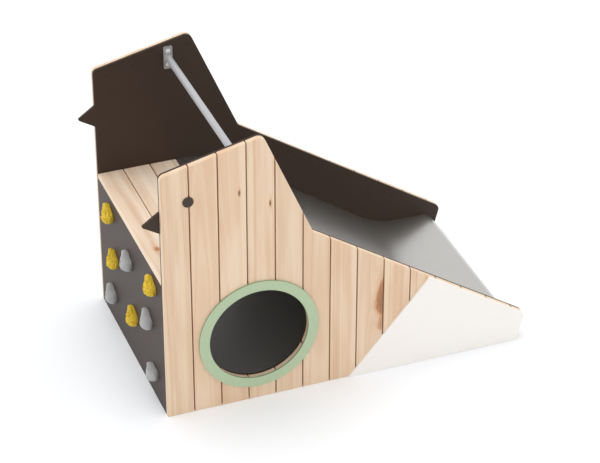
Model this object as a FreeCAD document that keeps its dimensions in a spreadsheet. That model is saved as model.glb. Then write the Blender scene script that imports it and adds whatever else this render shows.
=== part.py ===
import FreeCAD, Part
import math
import os
import Sketcher

# Toddler slide: two bird-shaped side walls, each a dark sheet clad with upright softwood boards,
# with a climbing wall, a boarded deck, a stainless chute and a steel grab bar between them.
#
# Frame: Z is up from the ground, X runs from the climbing end (beak) to the chute's foot and is
# centred on the overall length, Y runs across and is zero midway between the walls. The right
# wall, on the sliding child's right, is at -Y, and the left wall is its mirror image.

DRIVING_SIZES = {
    # Side outline, run from the climbing end and height over the ground
    "head_height": 1066,
    "peak_run": 393,
    "peak_height": 1159,
    "saddle_run": 588,
    "saddle_height": 705,
    "end_run": 1484,
    "end_height": 120,
    "end_lean": 32,
    "head_radius": 22,
    "peak_radius": 30,
    "saddle_radius": 6,
    "end_radius": 26,
    # Beak, cut in one with the sheet, from its top down
    "beak_reach": 70,
    "beak_drop": 154,
    "beak_depth": 93,
    "beak_tip_drop": 50,
    "beak_radius": 5,
    # Wall build-up
    "clear_width": 805,
    "sheet_thickness": 10,
    "board_width": 105,
    "board_gap": 5,
    "board_thickness": 18,
    "outline_round": 5,
    "board_arris": 2,
    # Crawl hole and its ring
    "hole_run": 369,
    "hole_height": 297,
    "ring_clear_radius": 198,
    "ring_width": 41,
    "ring_overhang": 2,
    "panel_thickness": 8,
    "panel_arris": 1,
    # Eye disc and tail panel on the outer face
    "eye_run": 103,
    "eye_drop": 122,
    "eye_radius": 21,
    "eye_thickness": 4,
    "tail_top_run": 1067,
    "tail_foot_run": 735,
    "tail_inset": 0.5,
    # Deck and climbing wall
    "deck_height": 604,
    "deck_thickness": 18,
    "deck_board_width": 105,
    "deck_end": 321,
    "deck_round": 5,
    "climb_thickness": 13,
    "side_fit": 0.5,
    "batten_size": 45,
    "floor_thickness": 10,
    "floor_end": 900,
    # Chute sheet
    "chute_thickness": 2,
    "chute_gap": 0.5,
    "chute_flange": 40,
    "chute_drop": 0.5,
    "brow_radius": 8,
    "level_length": 14,
    "head_bend": 375,
    "foot_bend": 300,
    "runout_height": 99,
    "runout_length": 115.7,
    "lip_setback": 78,
    "lip_bend": 42,
    "lip_angle": 54,
    "lip_length": 32,
    "curl_radius": 12,
    "rail_width": 45,
    "rail_depth": 68,
    "cleat_width": 32,
    "cleat_lead": 40,
    "exit_rail_setback": 61,
    # Grab bar with its end plates and bolts
    "bar_run": 303,
    "bar_drop": 67.7,
    "bar_diameter": 26.9,
    "bar_wall": 2.6,
    "plate_width": 36,
    "plate_height": 98,
    "plate_thickness": 5,
    "plate_corner": 6,
    "bolt_spacing": 57,
    "bar_bolt_radius": 4,
    "bar_bolt_head_radius": 10,
    "bar_bolt_head_height": 6,
    "bar_bolt_cover": 6,
    # Climbing holds and their fixings
    "hold_toe_radius": 15,
    "hold_heel_radius": 25,
    "hold_toe_reach": 32,
    "hold_heel_reach": 22,
    "hold_depth": 36,
    "hold_round": 11,
    "hold_draft": 10,
    "hold_bolt_radius": 5,
    "hold_bolt_head_radius": 8,
    "hold_bolt_head_height": 10,
    "hold_recess_radius": 10,
    "hold_recess_depth": 18,
    "tee_barrel_radius": 6.2,
    "tee_flange_radius": 13,
    "tee_flange_thickness": 2,
    # Screws that hold the boards to the sheet
    "screw_radius": 2.2,
    "screw_head_radius": 4.2,
    "screw_head_height": 3,
    "screw_cover": 3.7,
    "screw_edge": 45,
    "screw_sink": 0.3,
    "bore_clearance": 0.2,
}

# Climbing holds: colour name, place across and height of the bolt, lean of the toe from upright
HOLDS = (
    ("yellow", 243, 517, -50),
    ("yellow", 200, 330, -50),
    ("yellow", -300, 524, -50),
    ("yellow", -42, 217, -50),
    ("grey", 6, 443, -50),
    ("grey", 246, 136, -50),
    ("grey", -238, 331, -50),
    ("grey", -284, 117, -75),
)

doc = FreeCAD.newDocument("toddler_slide")
sheet = doc.addObject("Spreadsheet::Sheet", "sizes")
for row, (alias, size) in enumerate(DRIVING_SIZES.items(), start=1):
    sheet.set(f"A{row}", alias)
    sheet.set(f"B{row}", str(size))
    sheet.setAlias(f"B{row}", alias)
doc.recompute()

# Places that several pieces share, as expressions on the sheet
START = "(-(sizes.end_run - sizes.beak_reach) / 2)"
INNER_FACE = "(sizes.clear_width / 2)"
SHEET_FACE = f"({INNER_FACE} + sizes.sheet_thickness)"
OUTER_FACE = f"({SHEET_FACE} + sizes.board_thickness)"
FIT_WIDTH = "(sizes.clear_width - 2 * sizes.side_fit)"
FIT_FACE = f"({FIT_WIDTH} / 2)"
DECK_UNDERSIDE = "(sizes.deck_height - sizes.deck_thickness)"
BOARD_PITCH = "(sizes.board_width + sizes.board_gap)"
CHUTE_TOP = "(sizes.deck_height - sizes.chute_drop)"
LONG_EDGE_FALL = "((sizes.saddle_height - sizes.end_height) / (sizes.end_run - sizes.saddle_run))"
END_EDGE_LEAN = "(sizes.end_lean / sizes.end_height)"
FOOT_RUN = "(sizes.end_run - sizes.end_lean)"
BEAK_TOP = "(sizes.head_height - sizes.beak_drop)"
BEAK_TIP = f"({BEAK_TOP} - sizes.beak_tip_drop)"
BEAK_BOTTOM = f"({BEAK_TOP} - sizes.beak_depth)"
EYE_UP = "(sizes.head_height - sizes.eye_drop)"
RING_OUTER = "(sizes.ring_clear_radius + sizes.ring_width)"
HEAD_EDGE_RISE = "((sizes.peak_height - sizes.head_height) / sizes.peak_run)"
BAR_UP = f"(sizes.head_height + {HEAD_EDGE_RISE} * sizes.bar_run - sizes.bar_drop)"
WALL_THICKNESS = "(sizes.sheet_thickness + sizes.board_thickness)"
BAR_BOLT_LENGTH = f"(sizes.plate_thickness + {WALL_THICKNESS} - sizes.bar_bolt_cover)"
SCREW_LENGTH = f"({WALL_THICKNESS} - sizes.screw_sink - sizes.screw_cover)"


def value(expression):
    """The number that an expression on the sheet gives."""
    result = sheet.evalExpression(expression)
    return float(getattr(result, "Value", result))


BOARDS_PER_WALL = math.ceil(value(f"sizes.end_run / {BOARD_PITCH}"))
DECK_BOARDS = math.ceil(value("sizes.deck_end / (sizes.deck_board_width + sizes.board_gap)"))


def along(run):
    """X of a place that lies this run from the climbing end of the walls."""
    return f"({START} + ({run}))"


def bind(item, **expressions):
    """Bind properties of a document object to expressions, with __ for a dot in a name."""
    for name, expression in expressions.items():
        item.setExpression(name.replace("__", "."), expression)
    return item


def place(item, across="0", side="0", up="0"):
    """Bind the position of an object: X, Y and Z."""
    return bind(item, Placement__Base__x=across, Placement__Base__y=side, Placement__Base__z=up)


def new_body(name):
    body = doc.addObject("PartDesign::Body", name)
    body.Label = name
    return body


def new_sketch(body, name, plane, offset="0"):
    """A sketch on one of the body's origin planes, moved along the plane's normal."""
    sketch = body.newObject("Sketcher::SketchObject", name)
    support = next(item for item in body.Origin.OriginFeatures if item.Role == plane)
    sketch.AttachmentSupport = [(support, "")]
    sketch.MapMode = "FlatFace"
    sketch.setExpression("AttachmentOffset.Base.z", offset)
    return sketch


def bound_constraint(sketch, expression, kind, *where):
    """Add a dimension to a sketch and bind it to an expression."""
    number = sketch.addConstraint(Sketcher.Constraint(kind, *where, value(expression)))
    sketch.setExpression(f"Constraints[{number}]", expression)


def draw_outline(sketch, corners):
    """Draw a closed outline through corners, each a pair of expressions."""
    first = sketch.GeometryCount
    points = [FreeCAD.Vector(value(across), value(up), 0) for across, up in corners]
    for start, end in zip(points, points[1:] + points[:1]):
        sketch.addGeometry(Part.LineSegment(start, end))
    for index, (across, up) in enumerate(corners):
        line = first + index
        previous = first + (index - 1) % len(corners)
        sketch.addConstraint(Sketcher.Constraint("Coincident", previous, 2, line, 1))
        bound_constraint(sketch, across, "DistanceX", line, 1)
        bound_constraint(sketch, up, "DistanceY", line, 1)


def draw_circle(sketch, across, up, radius):
    """Draw a circle whose centre and radius are expressions."""
    centre = FreeCAD.Vector(value(across), value(up), 0)
    circle = sketch.addGeometry(Part.Circle(centre, FreeCAD.Vector(0, 0, 1), value(radius)))
    bound_constraint(sketch, across, "DistanceX", circle, 3)
    bound_constraint(sketch, up, "DistanceY", circle, 3)
    bound_constraint(sketch, radius, "Radius", circle)


def pad(body, sketch, length, name, backwards=False):
    feature = body.newObject("PartDesign::Pad", name)
    feature.Profile = sketch
    feature.Reversed = backwards
    bind(feature, Length=length)
    return feature


def round_edges(body, base, radius, name, chosen):
    """Round the edges of a feature for which chosen(edge) is true."""
    doc.recompute()
    edges = [f"Edge{n}" for n, edge in enumerate(base.Shape.Edges, start=1) if chosen(edge)]
    feature = body.newObject("PartDesign::Fillet", name)
    feature.Base = (base, edges)
    bind(feature, Radius=radius)
    return feature


def round_box_edges(box, radius, name, chosen):
    """Round the edges of a Part object for which chosen(edge) is true."""
    doc.recompute()
    size = value(radius)
    feature = doc.addObject("Part::Fillet", name)
    feature.Base = box
    feature.Edges = [
        (n, size, size) for n, edge in enumerate(box.Shape.Edges, start=1) if chosen(edge)
    ]
    return feature


def corner_edge(run, height):
    """Test for the edge across a wall at one corner of its outline."""
    x = value(along(run))
    z = value(height)

    def chosen(edge):
        middle = edge.CenterOfMass
        return abs(middle.x - x) < 1 and abs(middle.z - z) < 1 and abs(edge.BoundBox.XLength) < 0.01

    return chosen


pieces = []


def finished(item, name):
    """Name a sub-part, and list it for writing."""
    item.Label = name
    pieces.append(item)
    return item


def reflection(source, name):
    """The mirror image of a piece, on the other side of the slide."""
    copy = doc.addObject("Part::Mirroring", name)
    copy.Source = source
    copy.Base = FreeCAD.Vector(0, 0, 0)
    copy.Normal = FreeCAD.Vector(0, 1, 0)
    return copy


def boolean(kind, base, tool, name):
    feature = doc.addObject(f"Part::{kind}", name)
    feature.Base = base
    feature.Tool = tool
    return feature


def box(name, length, width, height, across="0", side="0", up="0"):
    return place(bind(doc.addObject("Part::Box", name), Length=length, Width=width, Height=height),
                 across, side, up)


def turned_solid(profile):
    """A solid of revolution about Z from a profile of (radius, height) points."""
    points = [FreeCAD.Vector(radius, 0, height) for radius, height in profile]
    face = Part.Face(Part.makePolygon(points + points[:1]))
    return face.revolve(FreeCAD.Vector(0, 0, 0), FreeCAD.Vector(0, 0, 1), 360)


def copies(solid, places):
    """A compound of copies of one solid, each at a placement."""
    solids = []
    for placement in places:
        copy = solid.copy()
        copy.Placement = placement
        solids.append(copy)
    return Part.makeCompound(solids)


def fastener_group(name, solid, places):
    group = doc.addObject("Part::Feature", name)
    group.Shape = copies(solid, places)
    return group


# ---------------------------------------------------------------------------------------------
# Side walls
# ---------------------------------------------------------------------------------------------

WALL_CORNERS = [
    ("0", "0"),
    ("0", "sizes.head_height"),
    ("sizes.peak_run", "sizes.peak_height"),
    ("sizes.saddle_run", "sizes.saddle_height"),
    ("sizes.end_run", "sizes.end_height"),
    (FOOT_RUN, "0"),
]
BEAK_CORNERS = [
    ("0", BEAK_BOTTOM),
    ("-sizes.beak_reach", BEAK_TIP),
    ("0", BEAK_TOP),
]
HOLE_RADIUS = "(sizes.ring_clear_radius + sizes.ring_overhang)"


def wall_blank(name, inner, thickness, corners):
    """The side outline as a plate with its crawl hole and rounded corners."""
    body = new_body(name)
    sketch = new_sketch(body, f"{name}_outline", "XZ_Plane", inner)
    draw_outline(sketch, [(along(run), up) for run, up in corners])
    draw_circle(sketch, along("sizes.hole_run"), "sizes.hole_height", HOLE_RADIUS)
    plate = pad(body, sketch, thickness, f"{name}_plate")
    for corner, radius, run, up in (
        ("head", "sizes.head_radius", "0", "sizes.head_height"),
        ("peak", "sizes.peak_radius", "sizes.peak_run", "sizes.peak_height"),
        ("saddle", "sizes.saddle_radius", "sizes.saddle_run", "sizes.saddle_height"),
        ("end", "sizes.end_radius", "sizes.end_run", "sizes.end_height"),
    ):
        plate = round_edges(body, plate, radius, f"{name}_{corner}", corner_edge(run, up))
    return body, plate


def outline_height(run):
    """Height of the side outline over a given run, before its corners are rounded."""
    points = [(value(r), value(up)) for r, up in WALL_CORNERS[1:]]
    for (run_a, up_a), (run_b, up_b) in zip(points, points[1:]):
        if run_a <= run <= run_b:
            return up_a + (up_b - up_a) * (run - run_a) / (run_b - run_a)
    return 0.0


def screw_heights(run):
    """Heights of the screws in one board: near the foot, near the top and midway between."""
    edge = value("sizes.screw_edge")
    hole_run = value("sizes.hole_run")
    hole_height = value("sizes.hole_height")
    reach = value(RING_OUTER)
    foot = max(0, run - value(FOOT_RUN)) / value(END_EDGE_LEAN)
    top = outline_height(run) - edge
    if top < 2 * edge:
        return [(foot + outline_height(run)) / 2]
    if abs(run - hole_run) < reach:
        half = (reach ** 2 - (run - hole_run) ** 2) ** 0.5
        middle = max(hole_height + half, (edge + top) / 2)
        return [edge, middle, top]
    return [edge, (edge + top) / 2, top]


def screw_profile(grow, tail):
    """A countersunk screw lying on its head's face, grown for its bore."""
    head = value("sizes.screw_head_radius") + grow
    shank = value("sizes.screw_radius") + grow
    depth = value("sizes.screw_head_height")
    length = value(SCREW_LENGTH) + tail
    return [(0, 0), (head, 0), (shank, depth), (shank, length), (0, length)]


def screw_places():
    """Placements of the right wall's screws, driven outwards from the sheet's inner face."""
    face = -value(INNER_FACE) - value("sizes.screw_sink")
    turn = FreeCAD.Rotation(FreeCAD.Vector(1, 0, 0), 90)
    places = []
    for index in range(BOARDS_PER_WALL):
        left = index * value(BOARD_PITCH)
        right = min(left + value("sizes.board_width"), value("sizes.end_run"))
        run = (left + right) / 2
        for height in screw_heights(run):
            places.append(FreeCAD.Placement(
                FreeCAD.Vector(value(START) + run, face, height), turn))
    return places


def bar_bolt_places():
    """Placements of the right wall's two grab bar bolts, driven outwards from the plate."""
    face = -value(INNER_FACE) + value("sizes.plate_thickness")
    turn = FreeCAD.Rotation(FreeCAD.Vector(1, 0, 0), 90)
    half = value("sizes.bolt_spacing") / 2
    height = value(BAR_UP)
    x = value(along("sizes.bar_run"))
    return [FreeCAD.Placement(FreeCAD.Vector(x, face, height + step), turn)
            for step in (-half, half)]


def bar_bolt_solid():
    """A domed bolt whose head stands on the plane z = 0 and whose shank points up Z."""
    radius = value("sizes.bar_bolt_head_radius")
    rise = value("sizes.bar_bolt_head_height")
    shank = Part.makeCylinder(value("sizes.bar_bolt_radius"), value(BAR_BOLT_LENGTH))
    ball_radius = (radius ** 2 + rise ** 2) / (2 * rise)
    ball = Part.makeSphere(ball_radius, FreeCAD.Vector(0, 0, ball_radius - rise))
    slab = Part.makeCylinder(radius, rise, FreeCAD.Vector(0, 0, -rise))
    return ball.common(slab).fuse(shank).removeSplitter()


def other_side(placements):
    """The mirror image placements on the left wall, for solids that are round about their axis."""
    turn = FreeCAD.Rotation(FreeCAD.Vector(1, 0, 0), -90)
    return [FreeCAD.Placement(FreeCAD.Vector(p.Base.x, -p.Base.y, p.Base.z), turn)
            for p in placements]


def right_wall():
    """The right wall's sheet and boards, bored for their screws and for the grab bar's bolts."""
    bore = value("sizes.bore_clearance")
    screw_bores = copies(turned_solid(screw_profile(bore, 1)), screw_places())
    bolt_bore = Part.makeCylinder(value("sizes.bar_bolt_radius") + bore,
                                  value(BAR_BOLT_LENGTH) + 1)
    bolt_bores = copies(bolt_bore, bar_bolt_places())
    # a bore starts at the sheet's inner face, in front of the sunk head
    mouth = Part.makeCylinder(value("sizes.screw_head_radius") + bore, value("sizes.screw_sink") + 1,
                              FreeCAD.Vector(0, 0, -value("sizes.screw_sink") - 1))
    mouths = copies(mouth, screw_places())
    bores = doc.addObject("Part::Feature", "right_bores")
    bores.Shape = Part.makeCompound([screw_bores, mouths, bolt_bores])

    corners = WALL_CORNERS[:1] + BEAK_CORNERS + WALL_CORNERS[1:]
    body, plate = wall_blank("right_sheet_blank", INNER_FACE, "sizes.sheet_thickness", corners)
    tip = corner_edge("-sizes.beak_reach", BEAK_TIP)
    round_edges(body, plate, "sizes.beak_radius", "right_beak_tip", tip)
    finished(boolean("Cut", body, bores, "right_wall_sheet_bored"), "right_wall_sheet")

    body, plate = wall_blank("right_cladding_blank", SHEET_FACE, "sizes.board_thickness",
                             WALL_CORNERS)
    outer = -value(OUTER_FACE)
    hole = value(HOLE_RADIUS)

    def outer_rim(edge):
        on_face = abs(edge.BoundBox.YMin - outer) < 0.01 and edge.BoundBox.YLength < 0.01
        at_foot = edge.BoundBox.ZMax < 0.01
        at_hole = abs(edge.Length - 2 * math.pi * hole) < 1
        return on_face and not at_foot and not at_hole

    round_edges(body, plate, "sizes.outline_round", "right_cladding_round", outer_rim)
    cladding = boolean("Cut", body, bores, "right_cladding_bored")

    def outer_upright(edge):
        return edge.BoundBox.ZLength > 1 and abs(edge.CenterOfMass.y - outer) < 0.01

    for index in range(BOARDS_PER_WALL):
        number = f"{index + 1:02d}"
        strip = box(f"right_strip_{number}", "sizes.board_width", "sizes.board_thickness",
                    "sizes.peak_height", along(f"{index} * {BOARD_PITCH}"), f"-{OUTER_FACE}")
        strip = round_box_edges(strip, "sizes.board_arris", f"right_strip_{number}_arris",
                                outer_upright)
        finished(boolean("Common", cladding, strip, f"right_board_{number}_cut"),
                 f"right_board_{number}")


def crawl_ring():
    body = new_body("right_crawl_ring")
    sketch = new_sketch(body, "crawl_ring_outline", "XZ_Plane", OUTER_FACE)
    for radius in (RING_OUTER, "sizes.ring_clear_radius"):
        draw_circle(sketch, along("sizes.hole_run"), "sizes.hole_height", radius)
    plate = pad(body, sketch, "sizes.panel_thickness", "crawl_ring_plate")
    face = -value(f"{OUTER_FACE} + sizes.panel_thickness")
    round_edges(body, plate, "sizes.panel_arris", "crawl_ring_arris",
                lambda edge: edge.BoundBox.YMax < face + 0.01)
    return finished(body, "right_crawl_ring")


def eye_disc():
    body = new_body("right_eye_disc")
    sketch = new_sketch(body, "eye_outline", "XZ_Plane", OUTER_FACE)
    draw_circle(sketch, along("sizes.eye_run"), EYE_UP, "sizes.eye_radius")
    plate = pad(body, sketch, "sizes.eye_thickness", "eye_plate")
    face = -value(f"{OUTER_FACE} + sizes.eye_thickness")
    round_edges(body, plate, "sizes.panel_arris", "eye_arris",
                lambda edge: edge.BoundBox.YMax < face + 0.01)
    return finished(body, "right_eye_disc")


def tail_panel():
    """White panel over the foot of the cladding, set in from the wall's long edge and end edge."""
    drop = f"(sizes.tail_inset * sqrt(1 + {LONG_EDGE_FALL}^2))"
    back = f"(sizes.tail_inset * sqrt(1 + {END_EDGE_LEAN}^2))"
    edge_start = f"(sizes.saddle_height + {LONG_EDGE_FALL} * sizes.saddle_run - {drop})"
    end_run = (f"(({FOOT_RUN} - {back} + {END_EDGE_LEAN} * {edge_start})"
               f" / (1 + {END_EDGE_LEAN} * {LONG_EDGE_FALL}))")
    end_height = f"({edge_start} - {LONG_EDGE_FALL} * {end_run})"
    corners = [
        ("sizes.tail_foot_run", "0"),
        ("sizes.tail_top_run", f"({edge_start} - {LONG_EDGE_FALL} * sizes.tail_top_run)"),
        (end_run, end_height),
        (f"({FOOT_RUN} - {back})", "0"),
    ]
    body = new_body("right_tail_panel")
    sketch = new_sketch(body, "tail_outline", "XZ_Plane", OUTER_FACE)
    draw_outline(sketch, [(along(run), up) for run, up in corners])
    plate = pad(body, sketch, "sizes.panel_thickness", "tail_plate")
    plate = round_edges(body, plate, "(sizes.end_radius - sizes.tail_inset)", "tail_corner",
                        corner_edge(end_run, end_height))
    face = -value(f"{OUTER_FACE} + sizes.panel_thickness")
    round_edges(body, plate, "sizes.panel_arris", "tail_arris",
                lambda edge: edge.BoundBox.YMax < face + 0.01 and edge.BoundBox.ZMax > 0.01)
    return finished(body, "right_tail_panel")


# ---------------------------------------------------------------------------------------------
# Deck and climbing wall
# ---------------------------------------------------------------------------------------------

def deck_boards():
    """Boards across the deck, the front one cut narrower so that it ends flush with the walls."""
    top = value("sizes.deck_height")
    front = value(START)

    def top_arris(edge):
        return edge.BoundBox.YLength > 1 and abs(edge.CenterOfMass.z - top) < 0.01

    def nosing(edge):
        return top_arris(edge) and abs(edge.CenterOfMass.x - front) < 0.01

    for index in range(DECK_BOARDS):
        name = f"deck_board_{index + 1}"
        steps_back = DECK_BOARDS - 1 - index
        end = f"(sizes.deck_end - {steps_back} * (sizes.deck_board_width + sizes.board_gap))"
        width = end if index == 0 else "sizes.deck_board_width"
        board = box(f"{name}_stock", width, FIT_WIDTH, "sizes.deck_thickness",
                    along(f"{end} - {width}"), f"-{FIT_FACE}", DECK_UNDERSIDE)
        radius, chosen = ("sizes.deck_round", nosing) if index == 0 else ("sizes.board_arris", top_arris)
        finished(round_box_edges(board, radius, f"{name}_rounded", chosen), name)


def hold_places():
    """Placement of each hold on the front of the climbing wall, its back on the wall's face."""
    x = value(START)
    places = []
    for colour, side, height, lean in HOLDS:
        turn = FreeCAD.Rotation(FreeCAD.Vector(1, 0, 0), lean)
        places.append((colour, FreeCAD.Placement(FreeCAD.Vector(x, side, height), turn)))
    return places


def bolt_axes():
    """Placements whose Z points into the wall from each hold's bolt centre on the wall's face."""
    inwards = FreeCAD.Rotation(FreeCAD.Vector(0, 1, 0), 90)
    return [FreeCAD.Placement(placement.Base, inwards) for colour, placement in hold_places()]


def climbing_wall():
    wall = box("climbing_wall_stock", "sizes.climb_thickness", FIT_WIDTH, DECK_UNDERSIDE,
               START, f"-{FIT_FACE}")
    bores = doc.addObject("Part::Feature", "climbing_wall_bores")
    bore = Part.makeCylinder(value("sizes.tee_barrel_radius") + value("sizes.bore_clearance"),
                             value("sizes.climb_thickness") + 2, FreeCAD.Vector(0, 0, -1))
    bores.Shape = copies(bore, bolt_axes())
    finished(boolean("Cut", wall, bores, "climbing_wall_bored"), "climbing_wall")


def climbing_holds():
    """Pear-shaped holds, narrow at the toe and wide at the heel, with a recess for the bolt."""
    numbers = {}
    for colour, placement in hold_places():
        numbers[colour] = numbers.get(colour, 0) + 1
        name = f"{colour}_hold_{numbers[colour]}"
        body = new_body(name)
        sketch = new_sketch(body, f"{name}_outline", "YZ_Plane")
        draw_cam(sketch, "sizes.hold_toe_reach", "sizes.hold_toe_radius",
                 "-sizes.hold_heel_reach", "sizes.hold_heel_radius")
        block = pad(body, sketch, "sizes.hold_depth", f"{name}_block", backwards=True)
        bind(block, TaperAngle="-sizes.hold_draft")
        doc.recompute()
        front = -value("sizes.hold_depth")
        block = round_edges(body, block, "sizes.hold_round", f"{name}_round",
                            lambda edge: edge.BoundBox.XMax < front + 0.01)
        bore = new_sketch(body, f"{name}_bore_circle", "YZ_Plane")
        draw_circle(bore, "0", "0", "(sizes.hold_bolt_radius + sizes.bore_clearance)")
        cut(body, bore, "sizes.hold_depth", f"{name}_bore")
        recess = new_sketch(body, f"{name}_recess_circle", "YZ_Plane",
                            "(-sizes.hold_depth + sizes.hold_recess_depth)")
        draw_circle(recess, "0", "0", "sizes.hold_recess_radius")
        cut(body, recess, "sizes.hold_recess_depth", f"{name}_recess")
        body.Placement = placement
        finished(body, name)


def draw_cam(sketch, toe, toe_radius, heel, heel_radius):
    """Draw two arcs about points on the sketch's upright axis, joined by their tangent lines."""
    toe_up, toe_r = value(toe), value(toe_radius)
    heel_up, heel_r = value(heel), value(heel_radius)
    sine = (heel_r - toe_r) / (toe_up - heel_up)
    cosine = (1 - sine ** 2) ** 0.5
    right_toe = FreeCAD.Vector(toe_r * cosine, toe_up + toe_r * sine, 0)
    right_heel = FreeCAD.Vector(heel_r * cosine, heel_up + heel_r * sine, 0)
    left_toe = FreeCAD.Vector(-right_toe.x, right_toe.y, 0)
    left_heel = FreeCAD.Vector(-right_heel.x, right_heel.y, 0)
    top = FreeCAD.Vector(0, toe_up + toe_r, 0)
    bottom = FreeCAD.Vector(0, heel_up - heel_r, 0)
    toe_arc = sketch.addGeometry(Part.Arc(right_toe, top, left_toe))
    left_line = sketch.addGeometry(Part.LineSegment(left_toe, left_heel))
    heel_arc = sketch.addGeometry(Part.Arc(left_heel, bottom, right_heel))
    right_line = sketch.addGeometry(Part.LineSegment(right_heel, right_toe))
    chain = (toe_arc, left_line, heel_arc, right_line)
    for piece, following in zip(chain, chain[1:] + chain[:1]):
        sketch.addConstraint(Sketcher.Constraint("Tangent", piece, 2, following, 1))
    for arc, up, radius in ((toe_arc, toe, toe_radius), (heel_arc, heel, heel_radius)):
        sketch.addConstraint(Sketcher.Constraint("PointOnObject", arc, 3, -2))
        bound_constraint(sketch, up, "DistanceY", arc, 3)
        bound_constraint(sketch, radius, "Radius", arc)


def cut(body, sketch, depth, name):
    """Cut a sketch away towards -X, from the sketch's plane."""
    feature = body.newObject("PartDesign::Pocket", name)
    feature.Profile = sketch
    bind(feature, Length=depth)
    return feature


def hold_fixings():
    """Cap screws in the holds' recesses and tee nuts let into the back of the climbing wall."""
    floor = value("sizes.hold_depth") - value("sizes.hold_recess_depth")
    head_radius = value("sizes.hold_bolt_head_radius")
    head_height = value("sizes.hold_bolt_head_height")
    shank = value("sizes.hold_bolt_radius")
    wall = value("sizes.climb_thickness")
    profile = [(0, -floor - head_height), (head_radius, -floor - head_height),
               (head_radius, -floor), (shank, -floor), (shank, wall), (0, wall)]
    finished(fastener_group("hold_bolt_group", turned_solid(profile), bolt_axes()), "hold_bolts")
    bore = shank + value("sizes.bore_clearance")
    barrel = value("sizes.tee_barrel_radius")
    flange = value("sizes.tee_flange_radius")
    back = wall + value("sizes.tee_flange_thickness")
    profile = [(bore, 1), (barrel, 1), (barrel, wall), (flange, wall), (flange, back), (bore, back)]
    finished(fastener_group("tee_nut_group", turned_solid(profile), bolt_axes()), "hold_tee_nuts")


# ---------------------------------------------------------------------------------------------
# Frame between the walls
# ---------------------------------------------------------------------------------------------

def both_sides(name, *right_pieces):
    """Pieces at the right wall and their mirror images at the left wall, as one group."""
    group = doc.addObject("Part::Compound", f"{name}_group")
    twins = [reflection(piece, f"{piece.Name}_twin") for piece in right_pieces]
    group.Links = list(right_pieces) + twins
    return finished(group, name)


def deck_frame():
    """Battens behind the climbing wall, bearers under the deck and the rail at the chute's head."""
    behind_wall = along("sizes.climb_thickness")
    bearer_up = f"({DECK_UNDERSIDE} - sizes.batten_size)"
    rail_start = "(sizes.deck_end - sizes.rail_width)"
    corner = box("corner_batten", "sizes.batten_size", "sizes.batten_size",
                 f"({bearer_up} - sizes.floor_thickness)", behind_wall, f"-{FIT_FACE}",
                 "sizes.floor_thickness")
    bearer = box("deck_bearer", f"({rail_start} - sizes.climb_thickness)", "sizes.batten_size",
                 "sizes.batten_size", behind_wall, f"-{FIT_FACE}", bearer_up)
    both_sides("wall_battens", corner, bearer)
    finished(box("floor_stock", "(sizes.floor_end - sizes.climb_thickness)", FIT_WIDTH,
                 "sizes.floor_thickness", behind_wall, f"-{FIT_FACE}"), "cave_floor")
    finished(box("head_rail_stock", "sizes.rail_width", FIT_WIDTH, "sizes.rail_depth",
                 along(rail_start), f"-{FIT_FACE}", f"({DECK_UNDERSIDE} - sizes.rail_depth)"),
             "chute_head_rail")


# ---------------------------------------------------------------------------------------------
# Chute
# ---------------------------------------------------------------------------------------------

CHUTE_RUN = "(sizes.deck_end + sizes.chute_gap)"
LEVEL_END_RUN = f"({CHUTE_RUN} + sizes.brow_radius + sizes.level_length)"
RUNOUT_END_RUN = "(sizes.end_run - sizes.lip_setback)"
# The slope touches two round bends, the upper one curling down and the lower one up. A line
# between their centres is inclined by the first angle, and the slope to that line by the second.
BENDS = "(sizes.head_bend + sizes.foot_bend)"
SLIDE_RUN = f"({RUNOUT_END_RUN} - sizes.runout_length - {LEVEL_END_RUN})"
SLIDE_DROP = f"({CHUTE_TOP} - sizes.runout_height)"
SLOPE_LENGTH = f"sqrt({SLIDE_RUN}^2 + {SLIDE_DROP}^2 - 2 * {SLIDE_DROP} * {BENDS})"
ANGLE = f"(atan(({SLIDE_DROP} - {BENDS}) / {SLIDE_RUN}) + atan({BENDS} / {SLOPE_LENGTH}))"
SLOPE_START_RUN = f"({LEVEL_END_RUN} + sizes.head_bend * sin({ANGLE}))"
SLOPE_START_UP = f"({CHUTE_TOP} - sizes.head_bend * (1 - cos({ANGLE})))"


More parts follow.
